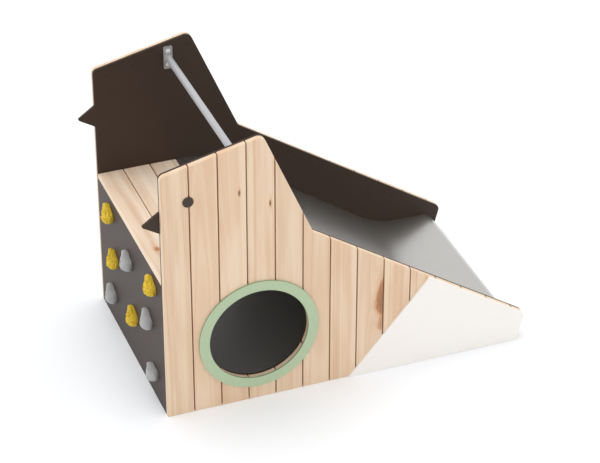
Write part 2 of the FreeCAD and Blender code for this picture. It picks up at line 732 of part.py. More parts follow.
def chute_path(body):
    """The top line of the chute, from its head flange up over the deck's end to the rolled lip."""
    sketch = new_sketch(body, "chute_path", "XZ_Plane")
    start = FreeCAD.Vector(value(along(CHUTE_RUN)), value(f"{CHUTE_TOP} - sizes.chute_flange"), 0)
    travel = PathDrawer(sketch, start, 90)
    flange = travel.line(value("sizes.chute_flange - sizes.brow_radius"))
    brow = travel.arc("sizes.brow_radius", -90)
    level = travel.line(value("sizes.level_length"))
    travel.arc("sizes.head_bend", -value(ANGLE))
    slope = travel.line(value(SLOPE_LENGTH))
    travel.arc("sizes.foot_bend", value(ANGLE))
    runout = travel.line(value("sizes.runout_length"))
    travel.arc("sizes.lip_bend", -value("sizes.lip_angle"))
    lip = travel.line(value("sizes.lip_length"))
    curl = travel.arc("sizes.curl_radius", -(180 - value("sizes.lip_angle")))

    bound_constraint(sketch, along(CHUTE_RUN), "DistanceX", flange, 1)
    bound_constraint(sketch, f"({CHUTE_TOP} - sizes.chute_flange)", "DistanceY", flange, 1)
    sketch.addConstraint(Sketcher.Constraint("Vertical", flange))
    sketch.addConstraint(Sketcher.Constraint("Horizontal", level))
    sketch.addConstraint(Sketcher.Constraint("Horizontal", runout))
    bound_constraint(sketch, CHUTE_TOP, "DistanceY", level, 1)
    bound_constraint(sketch, along(LEVEL_END_RUN), "DistanceX", level, 2)
    bound_constraint(sketch, along(SLOPE_START_RUN), "DistanceX", slope, 1)
    bound_constraint(sketch, "sizes.runout_height", "DistanceY", runout, 1)
    bound_constraint(sketch, along(RUNOUT_END_RUN), "DistanceX", runout, 2)
    bound_constraint(sketch, "sizes.lip_length", "Distance", lip)
    lip_drop = "(sizes.lip_bend * (1 - cos(sizes.lip_angle * 1 deg)))"
    bound_constraint(sketch, f"(sizes.runout_height - {lip_drop})", "DistanceY", lip, 1)
    sketch.addConstraint(Sketcher.Constraint("Vertical", curl, 1, curl, 3))
    return sketch


class PathDrawer:
    """Draws straight runs and tangent arcs one after another in a sketch."""

    def __init__(self, sketch, point, heading):
        self.sketch = sketch
        self.point = point
        self.heading = heading
        self.last = None

    def direction(self, angle):
        return FreeCAD.Rotation(FreeCAD.Vector(0, 0, 1), angle).multVec(FreeCAD.Vector(1, 0, 0))

    def join(self, number, start, end):
        """Make a new piece tangent to the one before it."""
        if self.last is not None:
            previous, previous_end = self.last
            self.sketch.addConstraint(
                Sketcher.Constraint("Tangent", previous, previous_end, number, start))
        self.last = (number, end)
        return number

    def line(self, length):
        end = self.point + self.direction(self.heading) * length
        number = self.sketch.addGeometry(Part.LineSegment(self.point, end))
        self.point = end
        return self.join(number, 1, 2)

    def arc(self, radius, turn):
        """An arc that turns the heading, to the left for a positive turn."""
        size = value(radius)
        side = 1 if turn > 0 else -1
        centre = self.point + self.direction(self.heading + 90 * side) * size
        middle = centre + self.direction(self.heading - 90 * side + turn / 2) * size
        end = centre + self.direction(self.heading - 90 * side + turn) * size
        number = self.sketch.addGeometry(Part.Arc(self.point, middle, end))
        self.point = end
        self.heading += turn
        self.join(number, *((1, 2) if side > 0 else (2, 1)))
        bound_constraint(self.sketch, radius, "Radius", number)
        return number


def chute():
    """Stainless sheet swept along its path."""
    body = new_body("chute")
    path = chute_path(body)
    section = new_sketch(body, "chute_section", "XY_Plane", f"({CHUTE_TOP} - sizes.chute_flange)")
    left = along(CHUTE_RUN)
    right = f"({left} + sizes.chute_thickness)"
    draw_outline(section, [(left, f"-{FIT_FACE}"), (right, f"-{FIT_FACE}"),
                           (right, FIT_FACE), (left, FIT_FACE)])
    doc.recompute()
    sweep = body.newObject("PartDesign::AdditivePipe", "chute_sheet")
    sweep.Profile = section
    sweep.Spine = path
    sweep.Transition = "Transformed"
    finished(body, "chute")


def sloped_box(name, length, width, depth, lead, side):
    """A batten under the slope, its top on the sheet's underside, from a lead down the slope."""
    piece = doc.addObject("Part::Box", name)
    below = f"(sizes.chute_thickness + {depth})"
    bind(piece, Length=length, Width=width, Height=depth)
    piece.Placement = FreeCAD.Placement(FreeCAD.Vector(), FreeCAD.Rotation(FreeCAD.Vector(0, 1, 0), 1))
    piece.setExpression("Placement.Rotation.Angle", ANGLE)
    run = f"{SLOPE_START_RUN} + {lead} * cos({ANGLE}) - {below} * sin({ANGLE})"
    up = f"{SLOPE_START_UP} - {lead} * sin({ANGLE}) - {below} * cos({ANGLE})"
    return place(piece, along(run), side, up)


def chute_supports():
    """Cleats along the walls under the slope, a rail between them and a rail under the run-out."""
    cleat_length = f"({SLOPE_LENGTH} - 2 * sizes.cleat_lead)"
    cleat = sloped_box("chute_cleat", cleat_length, "sizes.cleat_width", "sizes.batten_size",
                       "sizes.cleat_lead", f"-{FIT_FACE}")
    both_sides("chute_cleats", cleat)
    between = f"({FIT_WIDTH} - 2 * sizes.cleat_width)"
    middle = f"(({SLOPE_LENGTH} - sizes.rail_width) / 2)"
    finished(sloped_box("mid_rail", "sizes.rail_width", between, "sizes.rail_depth", middle,
                        f"(-{between} / 2)"), "chute_mid_rail")
    up = "(sizes.runout_height - sizes.chute_thickness - sizes.rail_depth)"
    finished(box("exit_rail_stock", "sizes.rail_width", FIT_WIDTH, "sizes.rail_depth",
                 along(f"{RUNOUT_END_RUN} - sizes.exit_rail_setback"), f"-{FIT_FACE}", up),
             "chute_exit_rail")


# ---------------------------------------------------------------------------------------------
# Grab bar
# ---------------------------------------------------------------------------------------------

def grab_bar():
    """A tube welded between two end plates."""
    plate_body = new_body("grab_bar_plate")
    sketch = new_sketch(plate_body, "plate_outline", "XZ_Plane",
                        f"({INNER_FACE} - sizes.plate_thickness)")
    x, z = along("sizes.bar_run"), BAR_UP
    half_width, half_height = "sizes.plate_width / 2", "sizes.plate_height / 2"
    corners = [(f"({x} {a} {half_width})", f"({z} {b} {half_height})")
               for a, b in (("-", "-"), ("+", "-"), ("+", "+"), ("-", "+"))]
    draw_outline(sketch, corners)
    for sign in ("-", "+"):
        draw_circle(sketch, x, f"({z} {sign} sizes.bolt_spacing / 2)",
                    "(sizes.bar_bolt_radius + sizes.bore_clearance)")
    plate = pad(plate_body, sketch, "sizes.plate_thickness", "plate_pad")
    far = value("sizes.plate_width") / 2 - 0.1
    centre = value(x)
    round_edges(plate_body, plate, "sizes.plate_corner", "plate_corners",
                lambda edge: edge.BoundBox.YLength > 1 and abs(edge.CenterOfMass.x - centre) > far)
    twin = reflection(plate_body, "grab_bar_plate_twin")

    length = "(sizes.clear_width - 2 * sizes.plate_thickness)"
    rods = []
    for name, radius in (("grab_bar_rod", "sizes.bar_diameter / 2"),
                         ("grab_bar_core", "(sizes.bar_diameter / 2 - sizes.bar_wall)")):
        rod = bind(doc.addObject("Part::Cylinder", name), Radius=radius, Height=length)
        rod.Placement = FreeCAD.Placement(
            FreeCAD.Vector(), FreeCAD.Rotation(FreeCAD.Vector(1, 0, 0), 90))
        rods.append(place(rod, x, f"({length} / 2)", z))
    tube = boolean("Cut", rods[0], rods[1], "grab_bar_tube")
    weldment = doc.addObject("Part::MultiFuse", "grab_bar_weldment")
    weldment.Shapes = [tube, plate_body, twin]
    finished(weldment, "grab_bar")

    places = bar_bolt_places()
    finished(fastener_group("grab_bar_bolt_group", bar_bolt_solid(), places + other_side(places)),
             "grab_bar_bolts")


def cladding_screws():
    places = screw_places()
    finished(fastener_group("cladding_screw_group", turned_solid(screw_profile(0, 0)),
                            places + other_side(places)), "cladding_screws")


def check_and_write():
    """Refuse a failed object, then write each sub-part under its own name."""
    for item in doc.Objects:
        if "Invalid" in item.State or "Error" in item.State:
            raise RuntimeError(f"{item.Name} failed: {item.State}")
    os.makedirs("parts", exist_ok=True)
    for piece in pieces:
        shape = piece.Shape
        if shape.isNull() or not shape.isValid() or not shape.Solids:
            raise RuntimeError(f"{piece.Label} has no valid solid")
    for piece in pieces:
        piece.Shape.exportStep(f"parts/{piece.Label}.step")


right_wall()
crawl_ring()
eye_disc()
tail_panel()
doc.recompute()
for piece in list(pieces):
    name = piece.Label.replace("right_", "left_")
    finished(reflection(piece, f"{name}_mirror"), name)
deck_boards()
climbing_wall()
climbing_holds()
hold_fixings()
deck_frame()
chute()
chute_supports()
grab_bar()
cladding_screws()
doc.recompute()
check_and_write()
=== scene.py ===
import math
from fnmatch import fnmatch
from types import SimpleNamespace

import bmesh
import bpy
from bpy.props import FloatProperty, FloatVectorProperty, IntProperty, PointerProperty
from mathutils import Matrix, Vector, noise


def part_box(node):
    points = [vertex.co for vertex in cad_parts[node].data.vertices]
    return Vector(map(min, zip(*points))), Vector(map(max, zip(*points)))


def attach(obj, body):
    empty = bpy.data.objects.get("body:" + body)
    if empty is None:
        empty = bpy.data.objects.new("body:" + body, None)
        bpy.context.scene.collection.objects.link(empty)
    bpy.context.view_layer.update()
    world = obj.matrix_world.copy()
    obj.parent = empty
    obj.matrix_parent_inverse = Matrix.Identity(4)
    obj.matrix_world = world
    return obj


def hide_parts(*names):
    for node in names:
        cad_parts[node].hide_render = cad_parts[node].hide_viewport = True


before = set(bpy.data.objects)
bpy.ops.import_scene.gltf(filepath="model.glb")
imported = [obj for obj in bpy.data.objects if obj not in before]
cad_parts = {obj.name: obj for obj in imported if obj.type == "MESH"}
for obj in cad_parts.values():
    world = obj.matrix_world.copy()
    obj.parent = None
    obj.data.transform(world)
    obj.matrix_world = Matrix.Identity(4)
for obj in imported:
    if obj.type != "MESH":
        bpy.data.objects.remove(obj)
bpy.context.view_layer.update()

bl_info = {
    "name": "Toddler Slide",
    "version": (1, 0, 0),
    "blender": (4, 5, 0),
    "location": "3D View > Sidebar > Slide",
    "description": "Finishes a toddler slide with boarded bird-shaped walls around its CAD model",
    "category": "Object",
}

BODY = "root"
MM = 0.001
WALL_LOW, WALL_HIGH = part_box("right_board_01")
CHUTE_LOW, CHUTE_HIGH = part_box("chute")


def nodes_named(*patterns):
    """Names of the CAD nodes that match one of the given patterns."""
    return [name for name in sorted(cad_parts)
            if any(fnmatch(name, pattern) for pattern in patterns)]


def display(red, green, blue):
    """A colour given as it looks on a screen, 0 to 255, in the linear values that shaders use."""
    def linear(level):
        level /= 255
        return level / 12.92 if level <= 0.04045 else ((level + 0.055) / 1.055) ** 2.4
    return linear(red), linear(green), linear(blue)


# ---- Settings ----

def length(name, description, millimetres):
    return FloatProperty(name=name, description=description, default=millimetres * MM,
                         unit="LENGTH", precision=4)


def colour(name, description, *levels):
    return FloatVectorProperty(name=name, description=description, default=display(*levels),
                               subtype="COLOR", size=3, min=0, max=1)


def amount(name, description, default, high=1.0):
    return FloatProperty(name=name, description=description, default=default, min=0, max=high)


def angle(name, description, degrees):
    return FloatProperty(name=name, description=description, default=math.radians(degrees),
                         subtype="ANGLE")


class SLIDE_PG_stage(bpy.types.PropertyGroup):
    camera_place: FloatVectorProperty(
        name="Camera place", description="Where the camera stands",
        default=(-2.7506, -7.2028, 5.4426), subtype="TRANSLATION", unit="LENGTH", size=3)
    camera_turn: angle("Camera turn", "Turn of the view from +Y towards +X", 20.84)
    camera_dip: angle("Camera dip", "How far the view dips below the horizon", 33.099)
    camera_roll: angle("Camera roll", "Roll of the camera about its view", 0.105)
    lens: FloatProperty(name="Lens", description="Focal length on a 36 mm wide sensor",
                        default=140.3, min=10, unit="CAMERA")
    sky_strength: amount("Sky strength", "Strength of the even white light", 0.9, high=5.0)
    key_strength: amount("Key strength", "Strength of the broad key light", 0.95, high=20.0)
    key_side: angle("Key side", "Side from which the key light comes, from +X towards +Y", 118)
    key_height: angle("Key height", "Height of the key light above the horizon", 80)
    key_spread: angle("Key spread", "Apparent width of the key light", 55)
    floor_colour: colour("Floor colour", "Colour of the floor", 238, 240, 243)
    floor_glow: amount("Floor glow", "White added to the floor for the camera and mirrors", 0.10)
    floor_reach: length("Floor reach", "Radius of the floor", 40000)


class SLIDE_PG_wood(bpy.types.PropertyGroup):
    pale: colour("Pale wood", "Early wood of the cladding", 238, 212, 182)
    streak: colour("Streak", "Late wood of the cladding", 226, 191, 158)
    line: colour("Line", "Narrow resinous lines along the grain", 208, 160, 120)
    knot: colour("Knot", "Heart of a knot", 106, 86, 66)
    # The deck's colours are a paler, pinker copy of the cladding's wood. The pink is the deck's own;
    # the extra lightness is painted light, making up for the shade that the walls cast on the deck.
    deck_pale_painted_light: colour("Deck pale", "Early wood of the deck", 248, 228, 205)
    deck_streak_painted_light: colour("Deck streak", "Late wood of the deck", 232, 200, 170)
    halo: colour("Knot halo", "Resin-stained wood round a knot", 214, 160, 108)
    scar: colour("Bark pocket", "Reddish bark pocket beside a board's edge", 176, 113, 70)
    sawn_pale: colour("Sawn pale", "Early wood of the hidden frame", 214, 184, 148)
    sawn_streak: colour("Sawn streak", "Late wood of the hidden frame", 184, 148, 110)
    board_pitch: length("Board pitch", "Distance from one board to the next", 110)


class SLIDE_PG_sheets(bpy.types.PropertyGroup):
    dark: colour("Wall sheet", "Dark brown laminate of the walls", 61, 47, 38)
    climbing: colour("Climbing wall", "Grey-brown sheet of the climbing wall", 69, 58, 53)
    # Painted shade: a grey sheet, darker than the floor outside, laid on the ground inside the crawl
    # space to darken it.
    floor: colour("Crawl floor", "Dark sheet on the ground inside", 132, 130, 128)
    eye: colour("Eye", "Laminate of the eye discs", 68, 56, 50)
    green: colour("Ring", "Face of the crawl hole rings", 180, 199, 163)
    green_core: colour("Ring core", "Core that shows at the ring's edges", 138, 154, 126)
    white: colour("Tail", "Face of the tail panels", 251, 246, 240)
    white_core: colour("Tail core", "Core that shows at the tail's edges", 238, 232, 222)
    skin: length("Skin", "Thickness of a laminate's coloured face", 1.4)


class SLIDE_PG_chute(bpy.types.PropertyGroup):
    thickness: length("Thickness", "Thickness of the sheet", 2)
    flange: length("Flange", "Depth of the flange over the deck's end", 40)
    brow: length("Brow radius", "Radius of the fold at the deck's end", 8)
    level: length("Level", "Level stretch after the fold", 14)
    head_bend: length("Head bend", "Radius of the bend at the top", 375)
    foot_bend: length("Foot bend", "Radius of the bend at the foot", 300)
    runout_height: length("Run-out height", "Height of the run-out over the ground", 99)
    runout_length: length("Run-out length", "Level length of the run-out", 115.7)
    lip_bend: length("Lip bend", "Radius of the bend into the lip", 42)
    lip_length: length("Lip length", "Straight length of the lip", 32)
    lip_angle: angle("Lip angle", "How far the lip turns down", 54)
    curl: length("Curl", "Radius of the rolled edge", 12)
    steel: colour("Stainless", "Colour of the brushed sheet", 193, 191, 187)
    roughness: amount("Roughness", "Roughness of the brushed sheet", 0.3)


class SLIDE_PG_metal(bpy.types.PropertyGroup):
    tube: colour("Tube", "Satin zinc on the grab bar", 183, 183, 186)
    plate: colour("Plate", "Dull zinc on the bar's plates", 158, 156, 153)
    zinc: colour("Zinc", "Bright zinc on bolts and nuts", 214, 213, 210)
    black: colour("Black", "Coating of the cladding screws", 58, 47, 40)
    dome_rise: length("Dome rise", "Height of a domed bolt's head over its plate", 6)
    weld_reach: length("Weld reach", "Radius from the bar's axis to the middle of a bead", 14.05)
    weld_radius: length("Weld bead", "Radius of the bead where the bar meets its plates", 2.4)
    weld_ripples: IntProperty(name="Weld ripples", description="Ripples round one bead",
                              default=30, min=6)


class SLIDE_PG_holds(bpy.types.PropertyGroup):
    yellow: colour("Yellow resin", "Colour of the rough holds", 236, 200, 50)
    # Painted shade: darker yellow in the pits and low places of the rough holds.
    yellow_pit_shade: colour("Yellow hollow", "Colour in the pits of the rough holds", 150, 114, 12)
    grey: colour("Grey resin", "Colour of the smooth holds", 176, 176, 176)
    # Painted shade: darker grey in the pits and low places of the smooth holds.
    grey_pit_shade: colour("Grey hollow", "Colour in the pits of the smooth holds", 128, 128, 129)
    lean: angle("Lean", "Lean of a hold's toe from upright, towards the left wall", 50)
    odd_lean: angle("Odd lean", "Lean of the lowest grey hold", 75)
    toe_reach: length("Toe reach", "Bolt to the middle of the toe", 32)
    heel_reach: length("Heel reach", "Bolt to the middle of the heel", 18)
    toe_radius: length("Toe radius", "Radius of the toe", 15)
    heel_radius: length("Heel radius", "Radius of the heel", 25.5)
    waist: length("Waist", "How far a hold draws in between its toe and its heel", 2)
    depth: length("Depth", "How far a hold stands off the wall", 42)
    widest: amount("Widest at", "Share of the depth at which a hold is widest", 0.30)
    plug_radius: length("Plug radius", "Radius of the plug over a hold's bolt", 9.2)
    plug_depth: length("Plug depth", "How far the plug lies under the hold's front", 2.2)


class SLIDE_PG_settings(bpy.types.PropertyGroup):
    stage: PointerProperty(type=SLIDE_PG_stage)
    wood: PointerProperty(type=SLIDE_PG_wood)
    sheets: PointerProperty(type=SLIDE_PG_sheets)
    chute: PointerProperty(type=SLIDE_PG_chute)
    metal: PointerProperty(type=SLIDE_PG_metal)
    holds: PointerProperty(type=SLIDE_PG_holds)


# ---- Node trees ----

def pick(sockets, key):
    """A socket by its index, its identifier or its name."""
    if isinstance(key, int):
        return sockets[key]
    return next((socket for socket in sockets if socket.identifier == key), None) or sockets[key]


def maths(operation, reflected=False):
    """A method that adds a Math node for a wire and another wire or number."""
    def method(self, other):
        pair = (other, self) if reflected else (self, other)
        return self.graph.math(operation, *pair)
    return method


class Wire:
    """An output socket. Arithmetic on it adds Math nodes to its tree."""

    def __init__(self, graph, socket):
        self.graph = graph
        self.socket = socket

    def other(self, key):
        """Another output of the same node."""
        return Wire(self.graph, pick(self.socket.node.outputs, key))

    def __abs__(self):
        return self.graph.math("ABSOLUTE", self)

    __add__ = __radd__ = maths("ADD")
    __mul__ = __rmul__ = maths("MULTIPLY")
    __sub__, __rsub__ = maths("SUBTRACT"), maths("SUBTRACT", reflected=True)
    __truediv__ = maths("DIVIDE")
    __pow__, __rpow__ = maths("POWER"), maths("POWER", reflected=True)
    __lt__, __gt__ = maths("LESS_THAN"), maths("GREATER_THAN")


class Graph:
    """Adds nodes to a tree and links them."""

    def __init__(self, tree):
        self.tree = tree
        tree.nodes.clear()

    def add(self, kind, settings=None, inputs=(), output=0):
        """Add a node: first its settings, then the values or wires of its inputs."""
        node = self.tree.nodes.new(kind)
        for name, setting in (settings or {}).items():
            setattr(node, name, setting)
        pairs = inputs.items() if isinstance(inputs, dict) else enumerate(inputs)
        for key, given in pairs:
            socket = pick(node.inputs, key)
            if isinstance(given, Wire):
                self.tree.links.new(given.socket, socket)
            else:
                socket.default_value = given
        return Wire(self, pick(node.outputs, output)) if node.outputs else node

    def math(self, operation, *values):
        return self.add("ShaderNodeMath", {"operation": operation}, values)

    def clamp(self, value):
        return self.add("ShaderNodeClamp", None, [value])

    def step(self, value, low, high):
        """0 below low, 1 above high and smooth between them."""
        return self.add("ShaderNodeMapRange", {"interpolation_type": "SMOOTHSTEP"},
                        {"Value": value, "From Min": low, "From Max": high})

    def combine(self, x, y, z):
        return self.add("ShaderNodeCombineXYZ", None, [x, y, z])

    def split(self, vector):
        first = self.add("ShaderNodeSeparateXYZ", None, [vector])
        return first, first.other("Y"), first.other("Z")

    def position(self):
        return self.add("ShaderNodeTexCoord", output="Object")

    def noise(self, vector, scale, detail=2.0, roughness=0.5):
        return self.add("ShaderNodeTexNoise", None, {
            "Vector": vector, "Scale": scale, "Detail": detail, "Roughness": roughness})

    def stretched(self, x, y, z, detail=2.0, roughness=0.5):
        """Noise at a place whose parts are each scaled before."""
        return self.noise(self.combine(x, y, z), 1.0, detail, roughness)

    def cells(self, vector, scale, output):
        return self.add("ShaderNodeTexVoronoi", None, {"Vector": vector, "Scale": scale}, output)

    def line_noise(self, value, scale, detail=2.0):
        """Noise along one number."""
        return self.add("ShaderNodeTexNoise", {"noise_dimensions": "1D"},
                        {"W": value, "Scale": scale, "Detail": detail})

    def mix(self, factor, first, second, blend="MIX"):
        """Mix two colours, each a wire or three levels, by a factor that the node clamps."""
        first, second = (item if isinstance(item, Wire) else (*item, 1) for item in (first, second))
        return self.add("ShaderNodeMix", {"data_type": "RGBA", "blend_type": blend},
                        {"Factor_Float": factor, "A_Color": first, "B_Color": second},
                        "Result_Color")

    def tone(self, shade, factor):
        """A colour, a wire or three levels, made lighter or darker by a factor."""
        grey = self.combine(factor, factor, factor)
        return self.mix(1.0, shade, grey, "MULTIPLY")


class Finish(Graph):
    """The node tree of one material."""

    def __init__(self, name):
        self.material = bpy.data.materials.new(name)
        self.material.use_nodes = True
        super().__init__(self.material.node_tree)

    def surface(self, shade, roughness, height=None, relief=0.1 * MM, **constants):
        """Close the tree with a Principled surface and return the material."""
        inputs = {name.replace("_", " "): given for name, given in constants.items()}
        inputs["Base Color"] = shade if isinstance(shade, Wire) else (*shade, 1)
        inputs["Roughness"] = roughness
        if height is not None:
            inputs["Normal"] = self.add("ShaderNodeBump", None, {
                "Strength": 1.0, "Distance": relief, "Height": height})
        shader = self.add("ShaderNodeBsdfPrincipled", None, inputs)
        self.add("ShaderNodeOutputMaterial", None, {"Surface": shader})
        return self.material


def paint(material, *patterns):
    """Give the CAD nodes that match one of the patterns their finish."""
    for name in nodes_named(*patterns):
        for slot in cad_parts[name].material_slots:
            slot.material = material


# ---- Finishes ----

# Knots: side of the slide (-1 right, 1 left, 0 deck), place across the board's row, place along
# the grain, half width and half length, in millimetres, and how dark the heart is
KNOTS = (
    (-1, -408, 939, 4.8, 14, 0.85),
    (-1, -289, 869, 4.6, 13, 0.85),
    (1, -250, 640, 5, 14, 0.8),
    (1, 95, 210, 6, 13, 0.7),
    (1, -520, 330, 5, 15, 0.8),
    (0, -654, -189, 9, 14, 0.85),
)
# Bark pockets at a board's edge: side, place of that edge, middle along the grain, reach into the
# board and half length, in millimetres, and how dark the pocket is
SCARS = (
    (-1, 168, 307, 32, 78, 1.0),
    (-1, 167, 208, 22, 33, 0.55),
    (1, -62, 420, 14, 50, 0.9),
)
# Place of a board's pith, in metres: how far behind a wall's outer face, or over the ground for a
# lying board, and how much farther, lower or aside it may be
PITH_BEHIND, PITH_HEIGHT = 0.06, 0.5
PITH_FARTHER, PITH_LOWER, PITH_ASIDE = 0.12, 0.10, 0.22
# Drift of the rings in each metre along a board, at least and beyond that, and how far they sway
LEAN, LEAN_MORE, SWAY = 0.002, 0.007, 0.012
# How far the rings bend out round a knot and a bark pocket
KNOT_BEND, SCAR_BEND = 0.006, 0.024
# Streaks per metre across the rings
BROAD, NARROW, FINE = 44, 170, 560
# The number that a board's chance is drawn from: its step from board to board, and its start
CHANCE_STEP, CHANCE_START = 0.731, 11.3
# The left wall's and the deck's boards count from here, to differ from the right wall's
LEFT_WALL_FIRST, DECK_FIRST = 50, 20
DECK_GAP = 5 * MM


def grain_axes(graph, lie):
    """Along the grain, across the board and through the board, for a board that lies this way."""
    x, y, z = graph.split(graph.position())
    return {"upright": (z, x, y), "across": (y, x, z), "lengthways": (x, y, z)}[lie]


def side_mask(through, side):
    """1 in the boards of one side. The deck, side 0, lies over 0 as the left wall does."""
    return through < 0 if side < 0 else through > 0


def add_knots(graph, figure, lie, axes, ragged):
    """Bend the rings round each knot, and add its heart and its halo."""
    along, across, through = axes
    for side, place, up, half_width, half_length, darkness in KNOTS:
        if (side == 0) != (lie == "across"):
            continue
        u = (across - place * MM) / (half_width * MM)
        v = (along - up * MM) / (half_length * MM)
        away, tail = u ** 2 + v ** 2, u ** 2 + (v * 0.34) ** 2
        here = side_mask(through, side)
        figure.rings += here * KNOT_BEND * (math.e ** (away * -0.14))
        figure.heart += here * darkness * (1 - graph.step(away + ragged * 1.1, 0.2, 1.3))
        figure.halo += here * (0.45 * (1 - graph.step(away + ragged, 0.7, 3.4))
                               + 0.28 * (1 - graph.step(tail + ragged, 0.3, 2.6)))


def add_scars(graph, figure, axes, on_board, splinter):
    """Bend the rings round each bark pocket, and add its bark, its heart and its halo."""
    along, across, through = axes
    for side, place, up, reach, half_length, darkness in SCARS:
        u = (across - place * MM) / (reach * MM)
        rise = (along - up * MM) / (half_length * MM)
        spread = abs(u) ** 1.5 + abs(rise - abs(rise) * 0.4) ** 1.7
        here = side_mask(through, side) * on_board(place) * darkness
        figure.rings += here * SCAR_BEND * (math.e ** (spread * -0.7))
        figure.bark += here * (1 - graph.step(spread + splinter * 1.3, 0.66, 1.0)) \
            * (0.92 + splinter * 1.5)
        figure.heart += here * (1 - graph.step(spread * 1.9 + splinter * 3.2, 0.1, 0.9)) * 0.3
        figure.halo += here * (1 - graph.step(spread + splinter, 0.9, 1.9)) * 0.5


def wood(name, lie, pale, streak, settings, start, first=0):
    """Softwood: rings about a pith outside the board, so that streaks widen into long arcs."""
    graph = Finish(name)
    along, across, through = axes = grain_axes(graph, lie)
    pitch = settings.board_pitch

    def row_at(place):
        """The row of the board that has its far edge at a place."""
        return math.floor((place * MM - start) / pitch - 0.1)

    row = graph.math("FLOOR", (across - start) / pitch)
    board = row + first + (through > 0) * LEFT_WALL_FIRST
    chance_a, chance_b, chance_c = graph.split(graph.add(
        "ShaderNodeTexWhiteNoise", {"noise_dimensions": "1D"},
        {"W": board * CHANCE_STEP + CHANCE_START}, "Color"))
    offset = across - start - (row + 0.5) * pitch - (chance_a - 0.5) * PITH_ASIDE
    if lie == "upright":
        depth = abs(through) - abs(WALL_LOW.y) + PITH_BEHIND + chance_b * PITH_FARTHER
    else:
        depth = through - PITH_HEIGHT + chance_b * PITH_LOWER
    sway = graph.stretched(across * 5, along * 1.3, board * 3.1, 1.0)
    rings = graph.math("SQRT", offset ** 2 + depth ** 2) \
        + along * (chance_c * LEAN_MORE + LEAN) + sway * SWAY
    figure = SimpleNamespace(rings=rings, heart=0, halo=0, bark=0)
    ragged = graph.stretched(across * 240, along * 70, board, 3.0) - 0.5
    add_knots(graph, figure, lie, axes, ragged)
    if lie == "upright":
        splinter = graph.stretched(across * 330, along * 45, board, 3.0, 0.6) - 0.5
        add_scars(graph, figure, axes, lambda place: abs(row - row_at(place)) < 0.5, splinter)
    rings = figure.rings
    broad = graph.line_noise(rings + board * 2.3, BROAD, 1.0)
    narrow = graph.line_noise(rings + board * 1.1, NARROW)
    fine = graph.line_noise(rings + board * 0.7, FINE)
    fibre = graph.stretched(across * 800, through * 800, along * 14)
    patch = graph.stretched(rings * 34, along * 2.1, board * 1.7, 2.0, 0.55)
    tint = 0.42 + (broad - 0.5) * 1.5 + (narrow - 0.5) * 0.95 + (fine - 0.5) * 0.85 \
        + (patch - 0.5) * 2.8
    shade = graph.mix(tint, pale, streak)
    resin = graph.step(narrow, 0.58, 0.74) * 0.26 + graph.step(broad, 0.6, 0.8) * 0.22
    shade = graph.mix(resin, shade, settings.line)
    shade = graph.mix(figure.halo, shade, settings.halo)
    shade = graph.mix(figure.bark, shade, settings.scar)
    heart_colour = settings.scar if lie == "across" else settings.knot
    shade = graph.mix(figure.heart, shade, heart_colour)
    shade = graph.tone(shade, 0.975 + chance_b * 0.04 + (fibre - 0.5) * 0.07)
    return graph.surface(shade, 0.52 + (fibre - 0.5) * 0.2, fibre + fine * 0.6, 0.12 * MM)


def plain_sheet(name, shade, roughness, mottle=0.05, grain=900, relief=0.05 * MM, gloss=0.25):
    """A matt laminate with a fine surface texture and a faint mottle."""
    graph = Finish(name)
    place = graph.position()
    cloud = graph.noise(place, 9, 3.0) - 0.5
    speck = graph.noise(place, grain, 2.0, 0.6)
    tinted = graph.tone(shade, 1 + cloud * mottle * 2 + (speck - 0.5) * mottle)
    return graph.surface(tinted, roughness + cloud * 0.08 + (speck - 0.5) * 0.08, speck, relief,
                         Specular_IOR_Level=gloss)


def faced_sheet(name, face, core, skin, inner, outer):
    """A laminate with a coloured face on both sides and a core that shows at its edges."""
    graph = Finish(name)
    place = graph.position()
    out = abs(graph.split(place)[1])
    buried = (out < outer - skin) * (out > inner + skin)
    cloud = graph.noise(place, 14, 3.0) - 0.5
    speck = graph.noise(place, 1100, 2.0, 0.6)
    shade = graph.mix(buried, face, core)
    shade = graph.tone(shade, 1 + cloud * 0.035 + (speck - 0.5) * 0.025)
    return graph.surface(shade, 0.42 + buried * 0.2 + (speck - 0.5) * 0.1, speck, 0.03 * MM)


def brushed_steel(name, shade, roughness):
    """Stainless sheet with fine lines along the slide and faint polishing marks."""
    graph = Finish(name)
    x, y, z = graph.split(graph.position())
    travel = x + z * 0.6
    lines = graph.stretched(travel * 7, y * 1300, 0.0, 3.0, 0.65)
    bands = graph.stretched(travel * 1.5, y * 90, 1.7)
    marks = graph.stretched(x * 9, y * 9, z * 9) - 0.5
    tinted = graph.tone(shade, 1 + (lines - 0.5) * 0.10 + (bands - 0.5) * 0.06)
    rough = roughness + (lines - 0.5) * 0.10 + marks * 0.03
    return graph.surface(tinted, rough, lines, 0.008 * MM, Metallic=0.95)


def cast_metal(name, shade, roughness, grain=400, metallic=1.0):
    """Zinc-coated steel with a faint spangle."""
    graph = Finish(name)
    place = graph.position()
    level = graph.split(graph.cells(place, grain, "Color"))[0]
    cloud = graph.noise(place, 60, 3.0) - 0.5
    tinted = graph.tone(shade, 1 + (level - 0.5) * 0.10 + cloud * 0.16)
    return graph.surface(tinted, roughness + (level - 0.5) * 0.10 + cloud * 0.1, cloud, 0.05 * MM,
                         Metallic=metallic)


def bar_finish(settings):
    """Satin zinc on the tube, and duller mottled zinc on the plates at its ends."""
    graph = Finish("satin_zinc")
    place = graph.position()
    x, y, z = graph.split(place)
    plate_depth = 5.5 * MM
    plate = abs(y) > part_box("grab_bar")[1].y - plate_depth
    level = graph.split(graph.cells(place, 260, "Color"))[0] - 0.5
    cloud = graph.noise(place, 110, 4.0, 0.6) - 0.5
    speck = graph.stretched(x * 900, y * 260, z * 900) - 0.5
    shade = graph.mix(plate, settings.tube, settings.plate)
    shade = graph.tone(shade, 1 + plate * (level * 0.16 + cloud * 0.5) + speck * 0.12)
    return graph.surface(shade, 0.46 + cloud * 0.16, cloud * plate * 3 + speck, 0.08 * MM,
                         Metallic=0.3)


